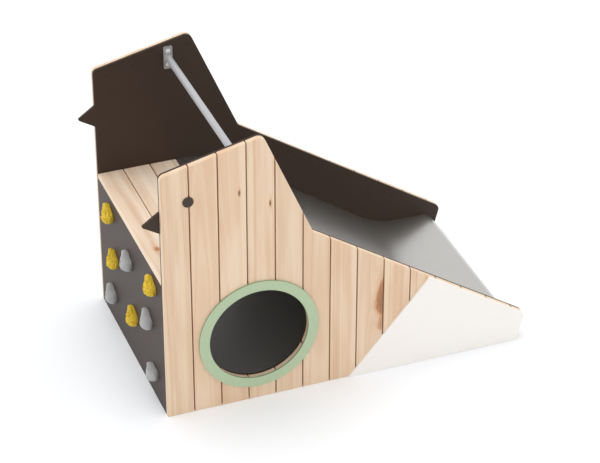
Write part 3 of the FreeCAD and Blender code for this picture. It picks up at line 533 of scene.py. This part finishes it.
def resin(name, shade, pit_shade, pits, roughness):
    """Cast resin with sand in it: grains stand proud and pits sink in; the colour is darkened in the
    pits and where the grains lie low, as painted shade.
    """
    graph = Finish(name)
    place = graph.position()
    grains = graph.noise(place, 420, 3.0, 0.6)
    lumps = graph.noise(place, 120, 2.0, 0.5)
    away = graph.cells(place, 190, "Distance")
    pits_and_pit_shade = 1 - graph.step(away + (lumps - 0.5) * 0.7, 0.12, 0.34)
    # Painted shade: cloud darkens the colour where the grains and lumps lie low, and the pits take
    # the darker pit shade colour, at the same places where the bump sinks.
    cloud = (0.5 - grains) * 2.6 + (0.5 - lumps) * 0.8
    tinted = graph.mix((pits_and_pit_shade + cloud) * pits, shade, pit_shade)
    return graph.surface(tinted, roughness, grains * 0.7 + lumps * 1.5 - pits_and_pit_shade, pits * 1.6 * MM)


# ---- Mesh helpers ----

def linked(name, content):
    """A new object in the scene that holds a mesh, a camera or a lamp."""
    item = bpy.data.objects.new(name, content)
    bpy.context.scene.collection.objects.link(item)
    return item


def new_piece(name, mesh, slot, *replaced):
    """Put a mesh into the scene as a piece of the slide, in place of any CAD nodes named."""
    piece = linked(name, mesh)
    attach(piece, BODY)
    if replaced:
        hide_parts(*replaced)


def smooth(mesh, sharp_angle=35):
    """Shade a mesh smooth, but for the edges that turn more than an angle in degrees."""
    mesh.shade_smooth()
    mesh.set_sharp_from_angle(angle=math.radians(sharp_angle))
    return mesh


def direction(angle):
    """A direction in the plane of X and Z, at an angle from X."""
    return Vector((math.cos(angle), 0, math.sin(angle)))


def full_turn(steps):
    """Angles of a full turn in even steps."""
    return [2 * math.pi * step / steps for step in range(steps)]


def bridge(form, loops):
    """Skin each closed loop of vertices to the next one."""
    for lower, upper in zip(loops, loops[1:]):
        for step in range(len(lower)):
            after = (step + 1) % len(lower)
            form.faces.new((lower[step], lower[after], upper[after], upper[step]))


def mesh_from(build, name):
    """A mesh of what build draws into a bmesh, with its faces turned outwards."""
    form = bmesh.new()
    build(form)
    bmesh.ops.remove_doubles(form, verts=form.verts, dist=0.001 * MM)
    bmesh.ops.recalc_face_normals(form, faces=form.faces)
    mesh = bpy.data.meshes.new(name)
    form.to_mesh(mesh)
    form.free()
    return mesh


def turned(form, rings, sides):
    """Skin rings of (radius, height, depth of its six lobes) about Z, and close both ends."""
    loops = []
    for radius, height, lobes in rings:
        loop = []
        for turn in full_turn(sides):
            reach = radius * (1 + lobes * math.cos(6 * turn))
            loop.append(form.verts.new((reach * math.cos(turn), reach * math.sin(turn), height)))
        loops.append(loop)
    bridge(form, loops)
    form.faces.new(loops[0])
    form.faces.new(loops[-1])


def loose_parts(name):
    """Lowest and highest corners of each separate solid in a CAD node."""
    form = bmesh.new()
    form.from_mesh(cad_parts[name].data)
    bmesh.ops.remove_doubles(form, verts=form.verts, dist=0.001 * MM)
    left = set(form.verts)
    boxes = []
    while left:
        part, fresh = set(), {left.pop()}
        while fresh:
            part |= fresh
            fresh = {edge.other_vert(vertex) for vertex in fresh for edge in vertex.link_edges}
            fresh -= part
        left -= part
        places = [vertex.co for vertex in part]
        boxes.append(tuple(Vector(map(extreme, zip(*places))) for extreme in (min, max)))
    form.free()
    return sorted(boxes, key=lambda box: tuple(round(value, 5) for value in box[0]))


def head_places(boxes):
    """Middle of the head and facing of each fixing that comes out of a wall's inner face."""
    places = []
    for low, high in boxes:
        inwards = 1 if low.y < 0 else -1
        inner = high.y if inwards > 0 else low.y
        places.append((((low.x + high.x) / 2, inner, (low.z + high.z) / 2), (0, inwards, 0)))
    return places


# ---- Geometry node trees ----

def start_tree(name, **inputs):
    """A geometry tree with named inputs. Returns its graph, its geometry and its other inputs."""
    tree = bpy.data.node_groups.new(name, "GeometryNodeTree")
    tree.interface.new_socket("Geometry", in_out="INPUT", socket_type="NodeSocketGeometry")
    tree.interface.new_socket("Geometry", in_out="OUTPUT", socket_type="NodeSocketGeometry")
    for label, kind in inputs.items():
        tree.interface.new_socket(label, in_out="INPUT", socket_type=f"NodeSocket{kind}")
    graph = Graph(tree)
    given = graph.add("NodeGroupInput")
    return graph, given, [given.other(label) for label in inputs]


def end_tree(graph, geometry, material):
    """Close a geometry tree: real geometry with its material set."""
    solid = graph.add("GeometryNodeRealizeInstances", None, [geometry])
    done = graph.add("GeometryNodeSetMaterial", None, {"Geometry": solid, "Material": material})
    graph.add("NodeGroupOutput", None, [done])
    return graph.tree


def grow(mesh, tree, **values):
    """The plain mesh that a geometry tree makes of a mesh, with its inputs set by identifier."""
    seed = linked("seed", mesh)
    modifier = seed.modifiers.new("Grow", "NODES")
    modifier.node_group = tree
    for socket in tree.interface.items_tree:
        if socket.in_out == "INPUT" and socket.name in values:
            modifier[socket.identifier] = values[socket.name]
    graph = bpy.context.evaluated_depsgraph_get()
    grown = bpy.data.meshes.new_from_object(seed.evaluated_get(graph), depsgraph=graph)
    bpy.data.objects.remove(seed)
    return grown


def fixing_tree(material):
    """Sets one fixing on each point, its axis along the point's facing, turned at random."""
    graph, points, (part, turn_seed) = start_tree("fixings", Part="Object", Seed="Int")
    facing = graph.add("GeometryNodeInputNamedAttribute", {"data_type": "FLOAT_VECTOR"},
                       {"Name": "facing"})
    upright = graph.add("FunctionNodeAlignRotationToVector", {"axis": "Z"}, {"Vector": facing})
    shape = graph.add("GeometryNodeObjectInfo", None, {"Object": part}, "Geometry")
    placed = graph.add("GeometryNodeInstanceOnPoints", None,
                       {"Points": points, "Instance": shape, "Rotation": upright})
    spin = graph.add("FunctionNodeRandomValue", {"data_type": "FLOAT"},
                     {"Max_001": 2 * math.pi, "Seed": turn_seed}, "Value_001")
    turned_about = graph.add("GeometryNodeRotateInstances", None, {
        "Instances": placed, "Rotation": graph.combine(0.0, 0.0, spin)})
    return end_tree(graph, turned_about, material)


def set_fixings(name, part_mesh, places, material, slot, replaced, seed):
    """One piece with a fixing at each place, a pair of its head's middle and its facing."""
    points = bpy.data.meshes.new(f"{name}_points")
    points.from_pydata([place for place, facing in places], [], [])
    facings = points.attributes.new("facing", "FLOAT_VECTOR", "POINT")
    for item, (place, facing) in zip(facings.data, places):
        item.vector = facing
    part = bpy.data.objects.new(f"{name}_part", part_mesh)
    grown = grow(points, fixing_tree(material), Part=part, Seed=seed)
    bpy.data.objects.remove(part)
    new_piece(name, smooth(grown), slot, replaced)


def sheet_tree(material):
    """Sweeps a flat strip's section along a line in the plane of X and Z."""
    graph, line, (width, thickness) = start_tree("swept_sheet", Width="Float", Thickness="Float")
    curve = graph.add("GeometryNodeMeshToCurve", None, [line])
    steady = graph.add("GeometryNodeSetCurveNormal", {"mode": "FREE"},
                       {"Curve": curve, "Normal": (0, 1, 0)})
    section = graph.add("GeometryNodeCurvePrimitiveQuadrilateral", None,
                        {"Width": width, "Height": thickness})
    swept = graph.add("GeometryNodeCurveToMesh", None,
                      {"Curve": steady, "Profile Curve": section, "Fill Caps": True})
    return end_tree(graph, swept, material)


# ---- Stage ----

def add_camera(stage):
    camera = linked("camera", bpy.data.cameras.new("camera"))
    camera.data.lens = stage.lens
    camera.data.sensor_width = 36
    camera.data.clip_end = 5 * stage.floor_reach
    turn = (Matrix.Rotation(-stage.camera_turn, 4, "Z")
            @ Matrix.Rotation(math.pi / 2 - stage.camera_dip, 4, "X")
            @ Matrix.Rotation(stage.camera_roll, 4, "Z"))
    camera.matrix_world = Matrix.Translation(stage.camera_place) @ turn
    bpy.context.scene.camera = camera


def add_key_light(stage):
    lamp = bpy.data.lights.new("key_light", "SUN")
    lamp.energy = stage.key_strength
    lamp.angle = stage.key_spread
    light = linked("key_light", lamp)
    level = math.cos(stage.key_height)
    towards = Vector((level * math.cos(stage.key_side), level * math.sin(stage.key_side),
                      math.sin(stage.key_height)))
    light.rotation_euler = towards.to_track_quat("Z", "Y").to_euler()


def seen_or_mirrored(graph):
    """1 for what the camera sees straight, in a mirror or through glass."""
    camera = graph.add("ShaderNodeLightPath", output="Is Camera Ray")
    return graph.clamp(camera + camera.other("Is Glossy Ray") + camera.other("Is Transmission Ray"))


def light_the_sky(stage):
    world = bpy.data.worlds.new("studio")
    world.use_nodes = True
    bpy.context.scene.world = world
    graph = Graph(world.node_tree)
    seen = seen_or_mirrored(graph)
    strength = seen + (1 - seen) * stage.sky_strength
    sky = graph.add("ShaderNodeBackground", None, {"Color": (1, 1, 1, 1), "Strength": strength})
    graph.add("ShaderNodeOutputWorld", None, {"Surface": sky})


def floor_finish(stage):
    graph = Finish("studio_floor")
    dust = graph.noise(graph.position(), 3, 2.0) - 0.5
    shade = graph.tone(stage.floor_colour, 1 + dust * 0.01)
    matt = graph.add("ShaderNodeBsdfDiffuse", None, {"Color": shade})
    glow = graph.add("ShaderNodeEmission", None,
                     {"Color": (1, 1, 1, 1), "Strength": seen_or_mirrored(graph) * stage.floor_glow})
    both = graph.add("ShaderNodeAddShader", None, [matt, glow])
    graph.add("ShaderNodeOutputMaterial", None, {"Surface": both})
    return graph.material


def add_floor(stage):
    def draw(form):
        bmesh.ops.create_circle(form, cap_ends=True, segments=96, radius=stage.floor_reach)
    mesh = mesh_from(draw, "floor")
    mesh.materials.append(floor_finish(stage))
    # just under the slide, so that the floor and the slide's underside don't share a plane
    mesh.transform(Matrix.Translation((0, 0, -0.5 * MM)))
    linked("floor", mesh)


# ---- Pieces ----

# Weld beads: steps round one ripple, sides of a bead's section, and a ripple's share of its radius
STEPS_A_RIPPLE, BEAD_SIDES, RIPPLE_DEPTH = 4, 8, 0.14
# Steps of the chute's straight runs and of its bends
RUN_STEP, BEND_STEP = 20 * MM, math.radians(1.5)


def chute_line(sizes):
    """Points of the chute's middle line, from the flange's foot to the rolled edge."""
    top = CHUTE_HIGH.z
    half = sizes.thickness / 2
    bends = sizes.head_bend + sizes.foot_bend
    curl_reach = sizes.curl * (1 - math.sin(sizes.lip_angle))
    lip_reach = (sizes.lip_bend * math.sin(sizes.lip_angle)
                 + sizes.lip_length * math.cos(sizes.lip_angle) + curl_reach)
    run = (CHUTE_HIGH.x - lip_reach - sizes.runout_length) - (CHUTE_LOW.x + sizes.brow + sizes.level)
    drop = top - sizes.runout_height
    slope = math.sqrt(run ** 2 + drop ** 2 - 2 * drop * bends)
    lean = math.atan((drop - bends) / run) + math.atan(bends / slope)
    # straight runs as a length, bends as a radius and a turn to the left, of the sheet's upper face
    route = [
        (sizes.flange - sizes.brow, None, None), (None, sizes.brow, -math.pi / 2),
        (sizes.level, None, None), (None, sizes.head_bend, -lean),
        (slope, None, None), (None, sizes.foot_bend, lean),
        (sizes.runout_length, None, None), (None, sizes.lip_bend, -sizes.lip_angle),
        (sizes.lip_length, None, None), (None, sizes.curl, sizes.lip_angle - math.pi),
    ]
    heading = math.pi / 2
    point = Vector((CHUTE_LOW.x + half, 0, top - sizes.flange))
    points = [point.copy()]
    for run_length, radius, turn in route:
        if radius is None:
            steps = max(1, round(run_length / RUN_STEP))
            points += [point + direction(heading) * run_length * step / steps
                       for step in range(1, steps + 1)]
        else:
            # the middle line runs inside a right-hand bend and outside a left-hand one
            side = 1 if turn > 0 else -1
            middle = radius + side * half
            out = heading - side * math.pi / 2
            centre = point - direction(out) * middle
            steps = max(6, round(abs(turn) / BEND_STEP))
            points += [centre + direction(out + turn * step / steps) * middle
                       for step in range(1, steps + 1)]
            heading += turn
        point = points[-1].copy()
    return points


def chute_mesh(sizes, material):
    points = chute_line(sizes)
    line = bpy.data.meshes.new("chute_line")
    line.from_pydata(points, [(step, step + 1) for step in range(len(points) - 1)], [])
    width = CHUTE_HIGH.y - CHUTE_LOW.y
    return smooth(grow(line, sheet_tree(material), Width=width, Thickness=sizes.thickness), 40)


def weld_bead(form, centre, radius, bead, ripples):
    """A rippled ring of weld round the bar, where it meets a plate."""
    loops = []
    for turn in full_turn(ripples * STEPS_A_RIPPLE):
        ripple = 1 + RIPPLE_DEPTH * math.cos(turn * ripples)
        outwards, sideways = direction(turn), Vector((0, math.copysign(1, centre.y), 0))
        loop = []
        for bend in full_turn(BEAD_SIDES):
            lift = sideways * math.sin(bend) + outwards * math.cos(bend)
            loop.append(form.verts.new(centre + outwards * radius + lift * bead * ripple))
        loops.append(loop)
    bridge(form, loops + loops[:1])


# Holds: rings over the front and under the widest line, sides, and halvings to find an outline
FRONT_RINGS, BACK_RINGS, HOLD_SIDES, OUTLINE_HALVINGS = 34, 8, 84, 16
# Shares: how much lower the toe and the heel's end are than the crown, and the foot's draw
TOE_DROP, REAR_DROP, FOOT_DRAW = 0.45, 0.14, 0.15
# Gap round a hold's plug, rise of the plug's middle, and width of the blend between two planes
PLUG_GAP, PLUG_RISE, PLANE_BLEND = 0.8 * MM, 0.6 * MM, 2 * MM
# Rings of the plug, from its middle over the groove round it to the wall of its hole: share of
# its radius and drop
PLUG_RINGS = ((0.6, -0.4 * MM), (0.94, 0), (1.0, 0.8 * MM), (1.0, -0.4 * MM))


def hold_outline(sizes, turn):
    """How far a hold's widest line is from its bolt at a turn, round two discs and a waist."""
    near, far = 0.0, sizes.toe_reach + sizes.toe_radius * 1.2
    span = sizes.toe_reach + sizes.heel_reach
    for _ in range(OUTLINE_HALVINGS):
        reach = (near + far) / 2
        across, up = reach * math.cos(turn), reach * math.sin(turn)
        share = min(max((up + sizes.heel_reach) / span, 0), 1)
        radius = sizes.heel_radius + (sizes.toe_radius - sizes.heel_radius) * share
        radius -= sizes.waist * math.sin(math.pi * share) ** 2
        off = math.hypot(across, up + sizes.heel_reach - share * span)
        if off < radius:
            near = reach
        else:
            far = reach
    return near


# Planes that a hold's front is worn to: slope sideways, slope towards the toe and share of depth
WORN_PLANES = ((0.34, 0.16, 1.04), (-0.70, 0.05, 1.30), (1.10, 0.30, 1.62), (-0.22, 0.50, 1.10),
               (0.10, -0.80, 1.52))


def ease(low, high, value):
    """0 below low, 1 above high and smooth between them."""
    share = min(max((value - low) / (high - low), 0), 1)
    return share * share * (3 - 2 * share)


def hold_crown(sizes, up):
    """Depth of a hold along its length: deepest over its heel, with a shoulder to its toe."""
    shoulder = ease(-8 * MM, 40 * MM, up)
    rear = ease(-18 * MM, -sizes.heel_reach - sizes.heel_radius, up)
    return sizes.depth * (1 - TOE_DROP * shoulder - REAR_DROP * rear)


def hold_front(sizes, across, up, share, seed):
    """Height of a hold's front at a place that is a share of the way out to its widest line."""
    rim = sizes.depth * sizes.widest
    sharpness = 4.0 + 14 * ease(0, sizes.toe_reach, up)
    height = rim + (hold_crown(sizes, up) - rim) * (1 - share ** sharpness) ** 0.5
    for number, (sideways, toewards, level) in enumerate(WORN_PLANES):
        wander = 0.12 * math.sin(seed * 2.4 + number * 1.9)
        plane = sizes.depth * level - across * (sideways + wander) - up * (toewards - wander)
        over = max(PLANE_BLEND - abs(plane - height), 0) / PLANE_BLEND
        height = min(plane, height) - over * over * PLANE_BLEND / 4
    return max(height, rim)


def hold_skin(form, sizes, ragged, seed):
    """A hold lying on its back: toe up Y, front up Z, drawn in again under its widest line."""
    shift = Vector((seed * 3.1, seed * 1.7, seed * 0.9))
    turns = full_turn(HOLD_SIDES)
    outline = [hold_outline(sizes, turn) for turn in turns]
    shares = [(math.sin(math.pi / 2 * ring / FRONT_RINGS), 0) for ring in range(FRONT_RINGS + 1)]
    shares += [(1 - FOOT_DRAW * (ring / BACK_RINGS) ** 1.7, ring / BACK_RINGS)
               for ring in range(1, BACK_RINGS + 1)]
    lip = sizes.plug_radius + PLUG_GAP
    loops = []
    for share, under in shares:
        loop = []
        for turn, edge in zip(turns, outline):
            reach = edge * share if under else lip + (edge - lip) * share
            across, up = reach * math.cos(turn), reach * math.sin(turn)
            height = sizes.depth * sizes.widest * (1 - under)
            if not under:
                height = hold_front(sizes, across, up, reach / edge, seed)
            point = Vector((across, up, height))
            level = (reach / edge) ** 3
            out = Vector((math.cos(turn) * level, math.sin(turn) * level, 1 - level)).normalized()
            if under < 1:
                point += out * roughness_at(point, shift, ragged)
            loop.append(form.verts.new(point))
        loops.append(loop)
    plug_height = min(vertex.co.z for vertex in loops[0]) - sizes.plug_depth
    tip = form.verts.new((0, 0, plug_height + PLUG_RISE))
    plug = [[form.verts.new((sizes.plug_radius * share * math.cos(turn),
                             sizes.plug_radius * share * math.sin(turn), plug_height - drop))
             for turn in turns] for share, drop in PLUG_RINGS]
    for step in range(HOLD_SIDES):
        form.faces.new((tip, plug[0][step], plug[0][(step + 1) % HOLD_SIDES]))
    bridge(form, plug + loops)
    form.faces.new(loops[-1])


def roughness_at(point, shift, ragged):
    """Height of the cast surface's lumps at a point, in metres."""
    coarse = noise.noise(point / (17 * MM) + shift)
    facets = noise.voronoi(point / (8 * MM) + shift)[0][0] - 0.5
    grit = noise.noise(point / (4 * MM) + shift)
    return (coarse * 0.9 - 0.6 + ragged * (facets * -4.0 + grit * 2.4 - 0.9)) * MM


def hold_frame(bolt, lean):
    """Places a hold on the climbing wall's face: its front towards -X and its toe leaning."""
    toe = Vector((0, math.sin(lean), math.cos(lean)))
    front = Vector((-1, 0, 0))
    sideways = toe.cross(front)
    return Matrix.Translation(bolt) @ Matrix((sideways, toe, front)).transposed().to_4x4()


# ---- Operators ----

class SLIDE_OT_stage(bpy.types.Operator):
    """Add the camera, the studio light and the floor"""
    bl_idname = "slide.stage"
    bl_label = "Stage"

    def execute(self, context):
        stage = context.scene.toddler_slide.stage
        context.scene.view_settings.view_transform = "Standard"
        add_camera(stage)
        add_key_light(stage)
        light_the_sky(stage)
        add_floor(stage)
        return {"FINISHED"}


class SLIDE_OT_cladding(bpy.types.Operator):
    """Finish the upright boards of both walls"""
    bl_idname = "slide.cladding"
    bl_label = "Cladding"

    def execute(self, context):
        palette = context.scene.toddler_slide.wood
        start = WALL_LOW.x - (palette.board_pitch - (WALL_HIGH.x - WALL_LOW.x)) / 2
        material = wood("cladding_wood", "upright", palette.pale, palette.streak, palette, start)
        paint(material, "left_board_*", "right_board_*")
        return {"FINISHED"}


class SLIDE_OT_deck(bpy.types.Operator):
    """Finish the deck boards"""
    bl_idname = "slide.deck"
    bl_label = "Deck"

    def execute(self, context):
        palette = context.scene.toddler_slide.wood
        boards = len(nodes_named("deck_board_*"))
        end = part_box(f"deck_board_{boards}")[1].x
        start = end + DECK_GAP / 2 - boards * palette.board_pitch
        # Painted light: the deck uses the lighter copy of the wood, against the walls' shade on it.
        material = wood("deck_wood", "across", palette.deck_pale_painted_light, palette.deck_streak_painted_light, palette, start,
                        DECK_FIRST)
        paint(material, "deck_board_*")
        return {"FINISHED"}


class SLIDE_OT_frame(bpy.types.Operator):
    """Finish the sawn battens, rails and cleats inside"""
    bl_idname = "slide.frame"
    bl_label = "Frame"

    def execute(self, context):
        palette = context.scene.toddler_slide.wood
        shades = (palette.sawn_pale, palette.sawn_streak, palette)
        paint(wood("sawn_rail", "across", *shades, CHUTE_LOW.x), "*_rail")
        paint(wood("sawn_batten", "upright", *shades, WALL_LOW.x), "wall_battens")
        paint(wood("sawn_cleat", "lengthways", *shades, WALL_LOW.y), "chute_cleats")
        return {"FINISHED"}


class SLIDE_OT_sheets(bpy.types.Operator):
    """Finish the wall sheets, the climbing wall, the crawl floor and the eyes"""
    bl_idname = "slide.sheets"
    bl_label = "Sheets"

    def execute(self, context):
        shades = context.scene.toddler_slide.sheets
        paint(plain_sheet("dark_laminate", shades.dark, 0.46), "*_wall_sheet")
        paint(plain_sheet("climbing_sheet", shades.climbing, 0.55, 0.08, 520, 0.12 * MM),
              "climbing_wall")
        # Painted shade: the grey crawl floor darkens the ground inside the crawl space.
        paint(plain_sheet("crawl_floor", shades.floor, 0.45, gloss=0.6), "cave_floor")
        paint(plain_sheet("eye_laminate", shades.eye, 0.45), "*_eye_disc")
        return {"FINISHED"}


class SLIDE_OT_panels(bpy.types.Operator):
    """Finish the crawl hole rings and the tail panels"""
    bl_idname = "slide.panels"
    bl_label = "Panels"

    def execute(self, context):
        shades = context.scene.toddler_slide.sheets
        low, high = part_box("left_crawl_ring")
        faces = (shades.skin, low.y, high.y)
        paint(faced_sheet("ring_laminate", shades.green, shades.green_core, *faces),
              "*_crawl_ring")
        paint(faced_sheet("tail_laminate", shades.white, shades.white_core, *faces),
              "*_tail_panel")
        return {"FINISHED"}


class SLIDE_OT_chute(bpy.types.Operator):
    """Make the stainless chute sheet"""
    bl_idname = "slide.chute"
    bl_label = "Chute"

    def execute(self, context):
        sizes = context.scene.toddler_slide.chute
        material = brushed_steel("brushed_stainless", sizes.steel, sizes.roughness)
        new_piece("chute_sheet", chute_mesh(sizes, material), "stainless_sheet", "chute")
        return {"FINISHED"}


class SLIDE_OT_grab_bar(bpy.types.Operator):
    """Finish the grab bar, and make its welds and domed bolts"""
    bl_idname = "slide.grab_bar"
    bl_label = "Grab bar"

    def execute(self, context):
        settings = context.scene.toddler_slide.metal
        paint(bar_finish(settings), "grab_bar")
        bolts = loose_parts("grab_bar_bolts")
        low, high = bolts[0]
        plate_face = abs(min(high.y for low, high in bolts) - settings.dome_rise)
        middle = (min(low.z for low, high in bolts) + max(high.z for low, high in bolts)) / 2

        def draw_beads(form):
            for side in (-1, 1):
                centre = Vector(((low.x + high.x) / 2, side * plate_face, middle))
                weld_bead(form, centre, settings.weld_reach, settings.weld_radius,
                          settings.weld_ripples)

        beads = smooth(mesh_from(draw_beads, "grab_bar_welds"), 60)
        beads.materials.append(cast_metal("weld", settings.tube, 0.5, 900))
        new_piece("grab_bar_welds", beads, "steel_tube")
        add_domed_bolts(bolts, settings)
        return {"FINISHED"}


def add_domed_bolts(bolts, settings):
    """Domed bolts with a narrow collar, their heads on the plates of the grab bar."""
    low, high = bolts[0]
    head, shank, collar, rise = (high.z - low.z) / 2, 4 * MM, 1.2 * MM, settings.dome_rise
    dome = [(head * math.cos(turn), collar - rise + (rise - collar) * math.sin(turn), 0)
            for turn in (math.radians(step * 10) for step in range(9))]
    rings = [(shank, low.y - high.y, 0), (shank, -rise, 0), (head, -rise, 0), *dome,
             (0.3 * MM, 0, 0)]
    mesh = mesh_from(lambda form: turned(form, rings, 32), "domed_bolt")
    material = cast_metal("bright_zinc", settings.zinc, 0.34, 700, 0.45)
    set_fixings("grab_bar_domed_bolts", mesh, head_places(bolts), material, "zinc_fixings",
                "grab_bar_bolts", 4)


class SLIDE_OT_holds(bpy.types.Operator):
    """Make the rough yellow and smooth grey climbing holds"""
    bl_idname = "slide.holds"
    bl_label = "Climbing holds"

    def execute(self, context):
        sizes = context.scene.toddler_slide.holds
        finishes = {"yellow": resin("yellow_resin", sizes.yellow, sizes.yellow_pit_shade, 0.7, 0.62),
                    "grey": resin("grey_resin", sizes.grey, sizes.grey_pit_shade, 0.18, 0.5)}
        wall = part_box("climbing_wall")[0].x
        bolts = [Vector((wall, (low.y + high.y) / 2, (low.z + high.z) / 2))
                 for low, high in loose_parts("hold_bolts")]
        names = nodes_named("*_hold_?")
        lowest = min(names, key=lambda name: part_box(name)[0].z)
        for seed, name in enumerate(names):
            low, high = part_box(name)
            bolt = min(bolts, key=lambda place: (place - (low + high) / 2).yz.length)
            tint = name.split("_")[0]
            lean = sizes.odd_lean if name == lowest else sizes.lean
            ragged, sharp_angle = (1.0, 30) if tint == "yellow" else (0.12, 50)
            mesh = mesh_from(lambda form: hold_skin(form, sizes, ragged, seed), f"{name}_cast")
            mesh.transform(hold_frame(bolt, lean))
            mesh.materials.append(finishes[tint])
            new_piece(f"{name}_cast", smooth(mesh, sharp_angle), f"{tint}_hold", name)
        return {"FINISHED"}


class SLIDE_OT_fixings(bpy.types.Operator):
    """Make the cladding screws, and finish the hold bolts and tee nuts"""
    bl_idname = "slide.fixings"
    bl_label = "Fixings"

    def execute(self, context):
        settings = context.scene.toddler_slide.metal
        paint(cast_metal("dull_zinc", settings.zinc, 0.38), "hold_bolts", "hold_tee_nuts")
        screws = loose_parts("cladding_screws")
        low, high = screws[0]
        head, long = (high.z - low.z) / 2, high.y - low.y
        shank, point, chamfer, recess, lobes = head / 2, 3 * MM, 0.2 * MM, 1.8 * MM, 0.16
        rings = [(chamfer, -long, 0), (shank, point - long, 0), (shank, 1 * MM - head, 0),
                 (head, -chamfer, 0), (head - chamfer, 0, 0), (head * 0.45, 0, lobes),
                 (head * 0.4, -recess, lobes)]
        mesh = mesh_from(lambda form: turned(form, rings, 18), "cladding_screw")
        black = plain_sheet("black_coating", settings.black, 0.4)
        set_fixings("cladding_screw_set", mesh, head_places(screws), black, "black_screws",
                    "cladding_screws", 9)
        return {"FINISHED"}


class SLIDE_PT_pieces(bpy.types.Panel):
    """Lists what the slide is made of"""
    bl_label = "Toddler Slide"
    bl_idname = "SLIDE_PT_pieces"
    bl_space_type = "VIEW_3D"
    bl_region_type = "UI"
    bl_category = "Slide"

    def draw(self, context):
        for operator in OPERATORS:
            self.layout.operator(operator.bl_idname)


GROUPS = (SLIDE_PG_stage, SLIDE_PG_wood, SLIDE_PG_sheets, SLIDE_PG_chute, SLIDE_PG_metal,
          SLIDE_PG_holds, SLIDE_PG_settings)
OPERATORS = (SLIDE_OT_stage, SLIDE_OT_cladding, SLIDE_OT_deck, SLIDE_OT_frame, SLIDE_OT_sheets,
             SLIDE_OT_panels, SLIDE_OT_chute, SLIDE_OT_grab_bar, SLIDE_OT_holds,
             SLIDE_OT_fixings)


def register():
    for item in (*GROUPS, *OPERATORS, SLIDE_PT_pieces):
        bpy.utils.register_class(item)
    bpy.types.Scene.toddler_slide = PointerProperty(type=SLIDE_PG_settings)


def unregister():
    del bpy.types.Scene.toddler_slide
    for item in reversed((*GROUPS, *OPERATORS, SLIDE_PT_pieces)):
        bpy.utils.unregister_class(item)


def main():
    register()
    for operator in OPERATORS:
        family, name = operator.bl_idname.split(".")
        getattr(getattr(bpy.ops, family), name)()


if __name__ == "__main__":
    main()
